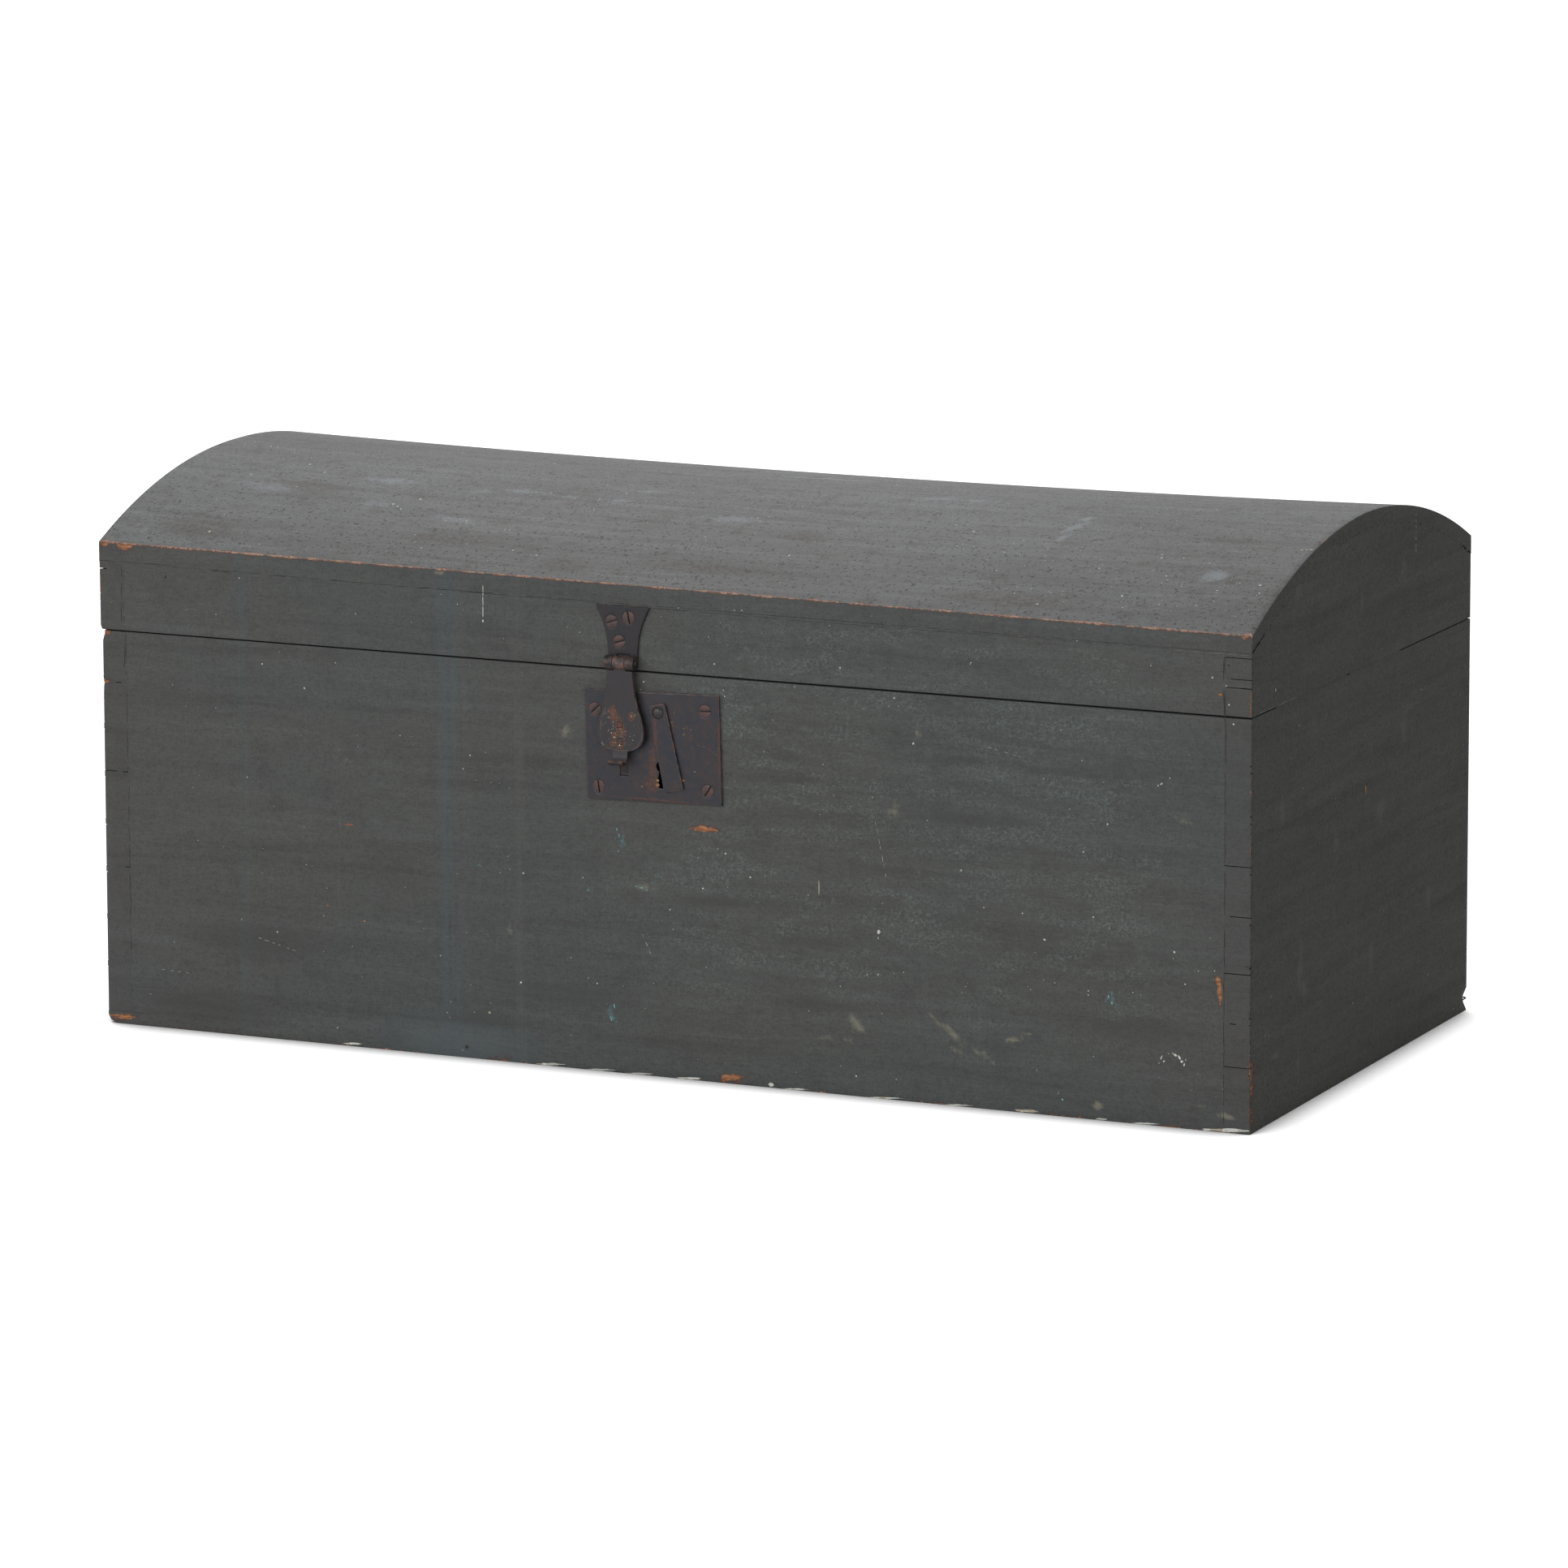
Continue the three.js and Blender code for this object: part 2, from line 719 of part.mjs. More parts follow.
function centreKnuckleOf(sizes) {
  return knuckle(sizes.barrel, sizes.pin + runningGap, -sizes.centreKnuckle / 2, sizes.centreKnuckle);
}

function outerKnucklesOf(sizes) {
  const start = sizes.centreKnuckle / 2 + runningGap;
  return [-start - sizes.outerKnuckle, start].map((x) => (
    knuckle(sizes.barrel, sizes.pin + runningGap, x, sizes.outerKnuckle)
  ));
}

// A leaf's outline from its shoulder up, flaring from the neck to the end.
function flaredShape(sizes, length) {
  const neck = sizes.neckWidth / 2;
  const widening = (sizes.endWidth - sizes.neckWidth) / 2;
  const start = flareStartShare * length;
  const run = length - start;
  const bends = flareBendShares.map(([across, up]) => [neck + across * widening, start + up * run]);
  const shape = new THREE.Shape();
  shape.moveTo(-neck, 0);
  shape.lineTo(neck, 0);
  shape.lineTo(neck, start);
  shape.bezierCurveTo(bends[0][0], bends[0][1], bends[1][0], bends[1][1], neck + widening, length);
  shape.lineTo(-neck - widening, length);
  shape.bezierCurveTo(-bends[1][0], bends[1][1], -bends[0][0], bends[0][1], -neck, start);
  return shape;
}

function leaf(sizes, length, holdsCentre, screwShares) {
  const back = sizes.standoff - seatGap;
  const plate = uprightPlate(flaredShape(sizes, length), back - sizes.thickness, sizes.thickness);
  const clear = sizes.barrel + runningGap;
  const y = [-clear, sizes.standoff + cutOverrun];
  const z = [-clear - cutOverrun, clear];
  const centreEdge = sizes.centreKnuckle / 2;
  const outerEdge = barrelLength(sizes) / 2 + cutOverrun + sizes.endWidth;
  const notches = holdsCentre
    ? [block([-outerEdge, -centreEdge], y, z), block([centreEdge, outerEdge], y, z)]
    : [block([-centreEdge - runningGap, centreEdge + runningGap], y, z)];
  const trimmed = cut(plate, notches);
  const knuckles = holdsCentre ? [centreKnuckleOf(sizes)] : outerKnucklesOf(sizes);
  const bore = rodAlongX(sizes.pin + runningGap, -barrelLength(sizes), 2 * barrelLength(sizes));
  return cut(joined(trimmed, ...knuckles), [bore, ...leafHoles(sizes, length, screwShares, screwHole)]);
}

function leafHoles(sizes, length, shares, hole) {
  return screwPlaces(shares, sizes.endWidth / 2, length).map(([x, up]) => (
    hole().translate(x, sizes.standoff - seatGap - sizes.thickness, up)
  ));
}

function leafScrews(sizes, length, shares, slots) {
  return screwPlaces(shares, sizes.endWidth / 2, length).map(([x, up], i) => (
    screw(slots[i]).translate(x, sizes.standoff - seatGap - sizes.thickness, up)
  ));
}

// The back hinges. Each hinge frame stands at its barrel, turned to face the back.
const hingeAxisHeight = seamHeight + seamGap / 2;
const hingeAxisDepth = halfDepth + hingeBarrelStandoff;

function toHinge(geometry, side) {
  return geometry.rotateZ(Math.PI).translate(side * hingeOffset, hingeAxisDepth, hingeAxisHeight);
}

function turnedDown(geometry) {
  return geometry.rotateY(Math.PI);
}

function lowerHingeScrewHoles() {
  return [-1, 1].flatMap((side) => (
    leafHoles(hingeSizes, hingeLowerLength, hingeScrewPlaceShares, pilotHole)
      .map((hole) => toHinge(turnedDown(hole), side))
  ));
}

function lowerHingeScrews(side) {
  return leafScrews(hingeSizes, hingeLowerLength, hingeScrewPlaceShares, hingeScrewSlotDegrees)
    .map((geometry) => toHinge(turnedDown(geometry), side));
}

// On the lid, heights are counted from the lid's lower edge.
function toLidHinge(geometry, side) {
  return toHinge(geometry, side).translate(0, 0, -lidFoot);
}

function upperHingeScrewHoles() {
  return [-1, 1].flatMap((side) => (
    leafHoles(hingeSizes, hingeUpperLength, hingeScrewPlaceShares, pilotHole)
      .map((hole) => toLidHinge(hole, side))
  ));
}

function upperHingeScrews(side) {
  return leafScrews(hingeSizes, hingeUpperLength, hingeScrewPlaceShares, hingeScrewSlotDegrees)
    .map((geometry) => toLidHinge(geometry, side));
}

const hingeNames = { '-1': 'left', 1: 'right' };

function lowerHingeHalves() {
  const group = new THREE.Group();
  const pinLength = barrelLength(hingeSizes);
  for (const side of [-1, 1]) {
    const lowerLeaf = leaf(hingeSizes, hingeLowerLength, false, hingeScrewPlaceShares);
    const pin = rodAlongX(hingePinRadius, -pinLength / 2, pinLength);
    const name = hingeNames[side];
    group.add(piece(`${name}_hinge_lower_leaf`, toHinge(turnedDown(lowerLeaf), side), blackIron));
    group.add(piece(`${name}_hinge_pin`, toHinge(pin, side), brightIron));
    group.add(...pieces(`${name}_lower_hinge_screw`, lowerHingeScrews(side), rustyIron));
  }
  return group;
}

function upperHingeHalves() {
  const group = new THREE.Group();
  for (const side of [-1, 1]) {
    const upperLeaf = leaf(hingeSizes, hingeUpperLength, true, hingeScrewPlaceShares);
    const name = hingeNames[side];
    group.add(piece(`${name}_hinge_upper_leaf`, toLidHinge(upperLeaf, side), blackIron));
    group.add(...pieces(`${name}_upper_hinge_screw`, upperHingeScrews(side), rustyIron));
  }
  return group;
}

// The lid, drawn from its lower edge at z = 0: two rails, two arched ends and a bent board over them.

function arcHeight(radius, y) {
  return arcCentre + Math.sqrt(radius ** 2 - y ** 2);
}

function arcAngle(radius, y) {
  return Math.acos(y / radius);
}

const railRadius = innerRadius - woodGap;
const railOuterHeight = arcHeight(railRadius, halfDepth);
const railInnerHeight = arcHeight(railRadius, shoulderDepth);

function railSection(side, foot, innerFoot) {
  const points = [
    [side * halfDepth, foot],
    [side * shoulderDepth, innerFoot],
    [side * shoulderDepth, railInnerHeight],
    [side * halfDepth, railOuterHeight],
  ];
  return outline(side < 0 ? points : points.reverse());
}

const lidPinLow = lidPinMiddle - lidPinTipHeight / 2;
const lidPinHigh = lidPinMiddle + lidPinTipHeight / 2;
const halfPinFoot = railOuterHeight - lidHalfPinHeight;

function lidRail(side) {
  const between = innerHalfLength - woodGap;
  const body = runAlongX(railSection(side, 0, 0), -between, 2 * between);
  const pin = runAlongX(pinSection(side, lidPinLow, lidPinHigh, 0), -halfLength, trunkLength);
  const halfPin = runAlongX(
    railSection(side, halfPinFoot, halfPinFoot - pinFlare), -halfLength, trunkLength,
  );
  return joined(body, pin, halfPin);
}

function lidEnd(end) {
  const shape = new THREE.Shape();
  shape.moveTo(-halfDepth, 0);
  shape.lineTo(halfDepth, 0);
  shape.absarc(
    0, arcCentre, railRadius, arcAngle(railRadius, halfDepth), Math.PI - arcAngle(railRadius, halfDepth),
  );
  const x = end < 0 ? -halfLength : innerHalfLength;
  const board = runAlongX(shape, x, endThickness, arcSegments);
  const cutStart = x - cutOverrun;
  const cutLength = endThickness + 2 * cutOverrun;
  const sockets = [];
  for (const side of [-1, 1]) {
    sockets.push(runAlongX(pinSection(side, lidPinLow, lidPinHigh, woodGap), cutStart, cutLength));
    const face = side * (halfDepth + cutOverrun);
    const shoulder = side * (shoulderDepth - woodGap);
    const points = [
      [face, halfPinFoot - woodGap],
      [shoulder, halfPinFoot - pinFlare - woodGap],
      [shoulder, domeEdgeHeight + domeRise],
      [face, domeEdgeHeight + domeRise],
    ];
    sockets.push(runAlongX(outline(side < 0 ? points : points.reverse()), cutStart, cutLength));
  }
  return cut(board, sockets);
}

function domeBoard() {
  const outerAngle = arcAngle(outerRadius, halfDepth);
  const innerAngle = arcAngle(innerRadius, halfDepth);
  const shape = new THREE.Shape();
  shape.absarc(0, arcCentre, outerRadius, outerAngle, Math.PI - outerAngle);
  shape.absarc(0, arcCentre, innerRadius, Math.PI - innerAngle, innerAngle, true);
  return runAlongX(shape, -halfLength, trunkLength, arcSegments);
}

// Nails through the bent board into the arched ends, each square to the curve.
function domeNails(grow) {
  const nails = [];
  const row = innerHalfLength + endThickness / 2;
  for (const x of [-row, row]) {
    for (const share of domeNailPlaceShares) {
      const radius = outerRadius - nailSink;
      const lean = Math.asin(share * halfDepth / outerRadius);
      const nail = turned(nailProfile(domeThickness + nailBite, grow), nailSides);
      nail.rotateX(Math.atan2(-Math.cos(lean), -Math.sin(lean)));
      nails.push(nail.translate(x, radius * Math.sin(lean), arcCentre + radius * Math.cos(lean)));
    }
  }
  return nails;
}

// The hasp's axis, seen from the lid's lower edge.
const haspAxisDepth = -halfDepth - haspBarrelStandoff;

function toHasp(geometry) {
  return geometry.translate(haspOffset, haspAxisDepth, haspAxisRise);
}

function haspScrewHoles() {
  return leafHoles(haspSizes, haspLeafLength, haspScrewPlaceShares, pilotHole).map(toHasp);
}

function lidBoards() {
  const group = new THREE.Group();
  const nailHoles = domeNails(runningGap);
  group.add(piece('lid_front_rail', cut(lidRail(-1), haspScrewHoles()), paintedWood));
  group.add(piece('lid_back_rail', cut(lidRail(1), upperHingeScrewHoles()), paintedWood));
  group.add(piece('lid_left_end', cut(lidEnd(-1), nailHoles), paintedWood));
  group.add(piece('lid_right_end', cut(lidEnd(1), nailHoles), paintedWood));
  group.add(piece('dome_board', cut(domeBoard(), nailHoles), paintedWood));
  group.add(...pieces('dome_nail', domeNails(0), nailIron));
  return group;
}

// The hasp's leaf, pin, strap and staple, in a frame at the barrel's axis.

const strapBack = runningGap - seatGap;
const strapFront = strapBack - strapThickness;

// Bends of the strap's sides, as shares of its widening and drop, and of its foot.
const strapBendShares = [[0.11, 0.6], [1, 0.74]];
const pearFootShares = [[1, 0.61], [0.62, 1]];

// The strap's outline: a neck to the centre knuckle, shoulders under the barrel, and a pear below.
function strapShape() {
  const neck = haspCentreKnuckle / 2;
  const shoulder = haspBarrelRadius + runningGap;
  const top = strapTopWidth / 2;
  const wide = pearWidth / 2;
  const fall = pearWidestDrop - shoulder;
  const bends = strapBendShares.map(([across, down]) => (
    [top + across * (wide - top), -shoulder - down * fall]
  ));
  const footFall = pearBottomDrop - pearWidestDrop;
  const footBends = pearFootShares.map(([across, down]) => (
    [across * wide, -pearWidestDrop - down * footFall]
  ));
  const shape = new THREE.Shape();
  shape.moveTo(neck, 0);
  shape.lineTo(-neck, 0);
  shape.lineTo(-neck, -shoulder);
  shape.lineTo(-top, -shoulder);
  shape.bezierCurveTo(-bends[0][0], bends[0][1], -bends[1][0], bends[1][1], -wide, -pearWidestDrop);
  shape.bezierCurveTo(
    -footBends[0][0], footBends[0][1], -footBends[1][0], footBends[1][1], 0, -pearBottomDrop,
  );
  shape.bezierCurveTo(
    footBends[1][0], footBends[1][1], footBends[0][0], footBends[0][1], wide, -pearWidestDrop,
  );
  shape.bezierCurveTo(bends[1][0], bends[1][1], bends[0][0], bends[0][1], top, -shoulder);
  shape.lineTo(neck, -shoulder);
  return shape;
}

// A strip of even thickness along a smooth line, as a closed outline.
function stripShape(points, thickness, steps) {
  const line = new THREE.SplineCurve(points.map(([across, up]) => new THREE.Vector2(across, up)));
  const left = [];
  const right = [];
  for (let i = 0; i <= steps; i += 1) {
    const at = line.getPoint(i / steps);
    const along = line.getTangent(i / steps);
    const across = new THREE.Vector2(-along.y, along.x).multiplyScalar(thickness / 2);
    left.push(at.clone().add(across));
    right.push(at.clone().sub(across));
  }
  return new THREE.Shape([...left, ...right.reverse()]);
}

// The finger tab: it leaves the pear's foot and curls out to the front.
const tabPathShares = [[0, 0.35], [0.02, 0], [0.12, -0.55], [0.45, -0.9], [0.8, -0.86], [1, -0.62]];

function fingerTab() {
  const middle = (strapBack + strapFront) / 2;
  const path = tabPathShares.map(([out, down]) => (
    [middle - out * (tabReach - tabThickness / 2), -pearBottomDrop + down * tabDrop]
  ));
  return runAlongX(stripShape(path, tabThickness, 2 * curveSegments), -tabWidth / 2, tabWidth);
}

// The staple's two tenons pass through the strap, in line with its bars.
const tenonDrops = [stapleDrop + stapleBar / 2, stapleDrop + stapleHeight - stapleBar / 2];

function tenonReach(grow) {
  return grow > 0
    ? [strapFront - cutOverrun, strapBack + cutOverrun]
    : [strapFront, strapBack + seatGap + stapleBar / 2];
}

function tenon(drop, grow) {
  const size = stapleTenonSize / 2 + grow;
  return block([-size, size], tenonReach(grow), [-drop - size, -drop + size]);
}

function haspStrap() {
  const plate = uprightPlate(strapShape(), strapFront, strapThickness);
  const bore = rodAlongX(haspPinRadius + runningGap, -haspCentreKnuckle, 2 * haspCentreKnuckle);
  const body = joined(plate, centreKnuckleOf(haspSizes), fingerTab());
  return cut(body, [bore, ...tenonDrops.map((drop) => tenon(drop, runningGap))]);
}

// The staple: a flat loop behind the strap, its eye open from side to side for the bolt.
function haspStaple() {
  const back = strapBack + seatGap;
  const far = back + stapleDepth;
  const top = -stapleDrop;
  const foot = -stapleDrop - stapleHeight;
  const shape = new THREE.Shape();
  shape.moveTo(back, top);
  shape.lineTo(back, top - stapleBar);
  shape.lineTo(far - stapleBar, top - stapleBar);
  shape.lineTo(far - stapleBar, foot + stapleBar);
  shape.lineTo(back, foot + stapleBar);
  shape.lineTo(back, foot);
  shape.lineTo(far - stapleBar, foot);
  shape.absarc(far - stapleBar, foot + stapleBar, stapleBar, -Math.PI / 2, 0);
  shape.lineTo(far, top - stapleBar);
  shape.absarc(far - stapleBar, top - stapleBar, stapleBar, 0, Math.PI / 2);
  const loop = runAlongX(shape, -stapleWidth / 2, stapleWidth, curveSegments / 2);
  return joined(loop, ...tenonDrops.map((drop) => tenon(drop, 0)));
}

function hasp() {
  const group = new THREE.Group();
  const pinLength = barrelLength(haspSizes);
  const screws = leafScrews(haspSizes, haspLeafLength, haspScrewPlaceShares, haspScrewSlotDegrees);
  group.position.set(haspOffset, haspAxisDepth, haspAxisRise);
  group.add(piece('hasp_leaf', leaf(haspSizes, haspLeafLength, false, haspScrewPlaceShares), blackIron));
  group.add(...pieces('hasp_leaf_screw', screws, rustyIron));
  group.add(piece('hasp_pin', rodAlongX(haspPinRadius, -pinLength / 2, pinLength), brightIron));
  group.add(piece('hasp_strap', haspStrap(), blackIron));
  group.add(piece('hasp_staple', haspStaple(), blackIron));
  return group;
}

// The whole trunk: the case with its lock and lower hinge halves, and the lid with its upper halves and hasp.

const caseGroup = new THREE.Group();
caseGroup.add(caseBoards(), lock(), lowerHingeHalves());

const lidGroup = new THREE.Group();
lidGroup.position.z = lidFoot;
lidGroup.add(lidBoards(), upperHingeHalves(), hasp());

const trunk = new THREE.Group();
trunk.add(caseGroup, lidGroup);

export default trunk;
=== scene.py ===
# The looks of a dome top trunk: worn boards under old paint, and blackened, rusting ironwork.
# Metres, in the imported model's frame: +X along the front to the right, -Y out of the front, +Z up.

import json
import math
import random

import bmesh
import bpy
import numpy as np
from mathutils import Matrix, Vector, noise


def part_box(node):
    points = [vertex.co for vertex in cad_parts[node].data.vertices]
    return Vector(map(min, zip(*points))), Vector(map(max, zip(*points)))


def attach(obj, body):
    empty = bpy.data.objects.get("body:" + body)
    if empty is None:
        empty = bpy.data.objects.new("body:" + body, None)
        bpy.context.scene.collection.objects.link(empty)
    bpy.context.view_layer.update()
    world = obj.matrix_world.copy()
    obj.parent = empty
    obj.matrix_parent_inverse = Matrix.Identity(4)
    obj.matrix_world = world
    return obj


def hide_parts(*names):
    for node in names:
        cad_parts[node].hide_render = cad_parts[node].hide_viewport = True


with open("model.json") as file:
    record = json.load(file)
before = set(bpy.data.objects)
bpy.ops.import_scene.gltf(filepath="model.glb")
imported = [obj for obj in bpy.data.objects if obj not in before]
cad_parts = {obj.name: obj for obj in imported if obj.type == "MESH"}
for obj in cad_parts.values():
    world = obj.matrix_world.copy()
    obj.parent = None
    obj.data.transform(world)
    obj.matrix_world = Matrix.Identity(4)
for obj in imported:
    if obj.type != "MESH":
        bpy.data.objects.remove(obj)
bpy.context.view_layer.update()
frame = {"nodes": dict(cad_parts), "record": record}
nodes = frame["nodes"]
bodies = frame["record"]["behaviour"]["bodies"]

MM = 0.001

# Sizes read from the frame.
case_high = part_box("bottom_board")[1]
HALF_LENGTH = case_high.x
HALF_DEPTH = case_high.y
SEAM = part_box("front_board")[1].z
LID_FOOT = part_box("lid_left_end")[0].z
SEAM_MIDDLE = (SEAM + LID_FOOT) / 2
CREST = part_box("dome_board")[1].z

# The bent board's edge at the rail is upright, and the paint's worn line runs along its top.
DOME_THICKNESS = 9.5 * MM
ARRIS_HEIGHT = 48 * MM
ARRIS = LID_FOOT + ARRIS_HEIGHT
RISE = CREST - ARRIS
DOME_RADIUS = (HALF_DEPTH ** 2 + RISE ** 2) / (2 * RISE)
DOME_CENTRE = CREST - DOME_RADIUS
END_SHOULDER = HALF_LENGTH - 15.5 * MM

# The camera, solved from the trunk's corners in a photograph of 1932 by 1932 pixels.
PHOTO_SIZE = 1932
FOCAL_PIXELS = 10587
SENSOR = 36
YAW = math.radians(24.70)
PITCH = math.radians(11.10)
ROLL = math.radians(-0.31)
TARGET = Vector((-2.08 * MM, 0, 136.97 * MM))
DISTANCE = 4965.6 * MM

forward = Vector((-math.sin(YAW) * math.cos(PITCH), math.cos(YAW) * math.cos(PITCH), -math.sin(PITCH)))
level = Vector((math.cos(YAW), math.sin(YAW), 0))
level_up = level.cross(forward)
right = math.cos(ROLL) * level + math.sin(ROLL) * level_up
up = math.cos(ROLL) * level_up - math.sin(ROLL) * level
eye = TARGET - DISTANCE * forward


def add_object(name, data):
    made = bpy.data.objects.new(name, data)
    bpy.context.scene.collection.objects.link(made)
    return made


def make_camera():
    data = bpy.data.cameras.new("camera")
    data.sensor_width = SENSOR
    data.lens = SENSOR * FOCAL_PIXELS / PHOTO_SIZE
    data.clip_end = 100
    camera = add_object("camera", data)
    turn = Matrix((right, up, -forward)).transposed()
    camera.matrix_world = Matrix.Translation(eye) @ turn.to_4x4()
    bpy.context.scene.camera = camera


make_camera()


def share(value, start, end):
    """How far value is from start to end, from 0 to 1."""
    return min(max((value - start) / (end - start), 0), 1)


# How the old trunk has moved. The lid's front edge stands higher at the left than at the right, its
# crest sags, and the lid reaches past the case a little at the left, whose lowest corner is worn away.
LEAN = 3 * MM
LEAN_FOOT = 20 * MM
SAG = 4.8 * MM
OVERHANG = 1.3 * MM
OVERHANG_START = 290 * MM
CORNER_WEAR = 6 * MM
CORNER_PULL = 2 * MM
CORNER_LIFT = 1.6 * MM
TRIM = 0.9998  # keeps blots of paint on the outer faces within the CAD's size


def settled(point):
    """Where a point of the lid or case has gone."""
    if point.z > SEAM_MIDDLE:
        along = point.x / HALF_LENGTH
        front = share(point.y, 0, -HALF_DEPTH)
        rise = share(point.z, LID_FOOT + LEAN_FOOT, ARRIS)
        height = share(point.z, ARRIS, CREST)
        drop = LEAN * along * rise * front + SAG * (1 - along ** 2) * height
        return Vector((TRIM * point.x, point.y, TRIM * point.z - drop))
    inwards = OVERHANG * share(point.z, 0, SEAM) * share(point.x, -OVERHANG_START, -HALF_LENGTH)
    low = share(point.z, CORNER_WEAR, 0) * share(point.x, -HALF_LENGTH + CORNER_WEAR, -HALF_LENGTH)
    low *= share(point.y, 0, -HALF_DEPTH)
    across = TRIM * point.x + inwards + CORNER_PULL * low ** 2
    return Vector((across, point.y, max(point.z, 0) + CORNER_LIFT * low ** 2))


# Places on the trunk's faces, from pixels of the photograph. A face's own coordinates are metres along
# it and up it, and on the dome metres along it and metres round it from the crest.

def front_point(a, b, lift=0):
    return Vector((a, -HALF_DEPTH - lift, b))


def end_point(a, b, lift=0):
    return Vector((HALF_LENGTH + lift, a, b))


def dome_point(a, b, lift=0):
    turn = b / DOME_RADIUS
    reach = DOME_RADIUS + lift
    return Vector((a, reach * math.sin(turn), DOME_CENTRE + reach * math.cos(turn)))


def ray(u, v):
    half = PHOTO_SIZE / 2
    return forward + (u - half) / FOCAL_PIXELS * right - (v - half) / FOCAL_PIXELS * up


def before_settling(find):
    """The rest place whose settled place find meets, given the shift so far."""
    shift = Vector((0, 0, 0))
    for _ in range(4):
        rest = find(shift)
        shift = settled(rest) - rest
    return rest


def front_place(u, v):
    way = ray(u, v)
    rest = before_settling(lambda shift: eye + (-HALF_DEPTH - eye.y) / way.y * way - shift)
    return rest.x, rest.z


def end_place(u, v):
    way = ray(u, v)
    hit = eye + (HALF_LENGTH - eye.x) / way.x * way
    return hit.y, hit.z


def iron_face(node):
    """The two functions of the face of a CAD node that looks forward. Ironwork hasn't settled."""
    depth = -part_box(node)[0].y

    def iron_point(a, b, lift=0):
        return Vector((a, -depth - lift, b))

    def iron_place(u, v):
        way = ray(u, v)
        hit = eye + (-depth - eye.y) / way.y * way
        return hit.x, hit.z

    return iron_point, iron_place


def dome_place(u, v):
    way = ray(u, v)

    def find(shift):
        start = eye - shift - Vector((0, 0, DOME_CENTRE))
        a = way.y ** 2 + way.z ** 2
        b = start.y * way.y + start.z * way.z
        c = start.y ** 2 + start.z ** 2 - DOME_RADIUS ** 2
        return eye - shift + (-b - math.sqrt(max(b * b - a * c, 0))) / a * way

    rest = before_settling(find)
    return rest.x, DOME_RADIUS * math.atan2(rest.y, rest.z - DOME_CENTRE)


FACES = {
    "front": (front_point, front_place),
    "end": (end_point, end_place),
    "dome": (dome_point, dome_place),
    "plate": iron_face("lock_plate"),
    "strap": iron_face("hasp_staple"),
}

# Marks on the paint, by kind and face. Each is a pixel column, a pixel row, half its width and half its
# height in millimetres, and its turn in degrees.
CHIPS = {
    "front": [
        (868, 1020, 9.6, 2.2, 3), (1503, 855, 1.8, 1.6, 0), (1503, 1222, 1.1, 8, 4),
        (1498, 1204, 1.6, 2.4, 0), (655, 1306, 6, 1.4, 3), (618, 1303, 9, 1.8, 3), (900, 1329, 8, 2.4, 3),
        (434, 1286, 6, 1.0, 3), (150, 1254, 9, 2.2, 4), (1541, 1335, 0.4, 18, 0), (1541, 1378, 0.5, 8, 0),
        (1448, 1387, 9, 1.2, 3), (131, 779, 2.6, 2.0, 0), (131, 839, 2.2, 1.4, 0), (1541, 866, 0.35, 8, 0),
        (1538, 788, 1.6, 3.0, 0),
    ],
    "dome": [(129, 667, 3, 1.8, 0), (153, 670, 5, 1.4, 0), (1535, 783, 2.6, 1.5, 0)],
}
SCUFFS = {
    "front": [
        (1229, 1224, 4.6, 2.4, 25), (1252, 1279, 11, 2.4, 20), (1170, 1270, 15, 2.4, -33),
        (1212, 1300, 10, 2.2, -36), (1354, 1363, 4.0, 3.0, 0), (1055, 1261, 8, 3.2, -48),
        (541, 705, 3.4, 2.0, 0), (541, 745, 1.0, 16, 0), (592, 1264, 1.2, 7, 4), (1510, 1376, 6, 2, 0),
    ],
    "end": [(1602, 1192, 4, 15, -8), (1606, 1218, 6, 5, 0), (1572, 1300, 7, 3, 0), (1678, 740, 2.4, 9, 0)],
    "dome": [
        (1497, 711, 9, 9, 0), (1310, 662, 4, 11, -20), (1324, 650, 4.5, 14, -20), (1337, 640, 3.5, 8, -20),
    ],
}
FAINT_SCUFFS = {
    "front": [
        (697, 900, 8, 8, 0), (430, 940, 12, 6, 20), (1083, 1150, 3, 4, 0), (1080, 1200, 2.4, 26, 0),
        (1480, 1362, 10, 2, 0), (1395, 1204, 6, 1.6, 20), (990, 1385, 4, 1, 0), (1455, 1010, 12, 4, -10),
        (520, 1134, 5, 3.5, 0), (793, 1094, 9, 4, 0), (1018, 1278, 7, 4, 10), (1130, 905, 5, 5, 0),
        (1132, 1072, 6, 5, -40), (628, 1145, 4, 6, 0), (1100, 1000, 6, 9, -30), (1322, 1020, 4, 3, 0),
        (757, 744, 14, 1.2, 2), (1045, 1280, 6, 6, 0), (1015, 1275, 5, 4, 0), (1180, 1295, 12, 5, -30),
    ],
    "dome": [
        (650, 606, 34, 9, 0), (598, 606, 22, 8, 0), (1020, 590, 50, 9, 0), (800, 606, 26, 8, 0),
        (466, 620, 22, 12, 0), (485, 592, 34, 12, 0), (763, 618, 18, 9, 0), (171, 632, 7, 7, 0),
        (180, 652, 5, 5, 0), (900, 640, 50, 12, 0), (1180, 616, 50, 9, 0), (700, 612, 24, 7, 0),
        (560, 640, 34, 9, 0), (330, 600, 36, 12, 0), (1540, 726, 4, 3, 0),
    ],
    "end": [
        (1645, 1040, 8, 16, 10), (1600, 1310, 4, 16, 5), (1560, 1330, 5, 11, -30), (1700, 1000, 16, 12, 0),
        (1690, 1180, 7, 24, 0), (1640, 770, 4, 16, 0), (1760, 1110, 11, 22, 0), (1730, 900, 10, 22, 0),
        (1580, 1000, 8, 24, 0), (1620, 900, 12, 9, 0), (1600, 720, 10, 16, 0), (1730, 700, 12, 20, 0),
    ],
}
FAINTNESS = 0.5
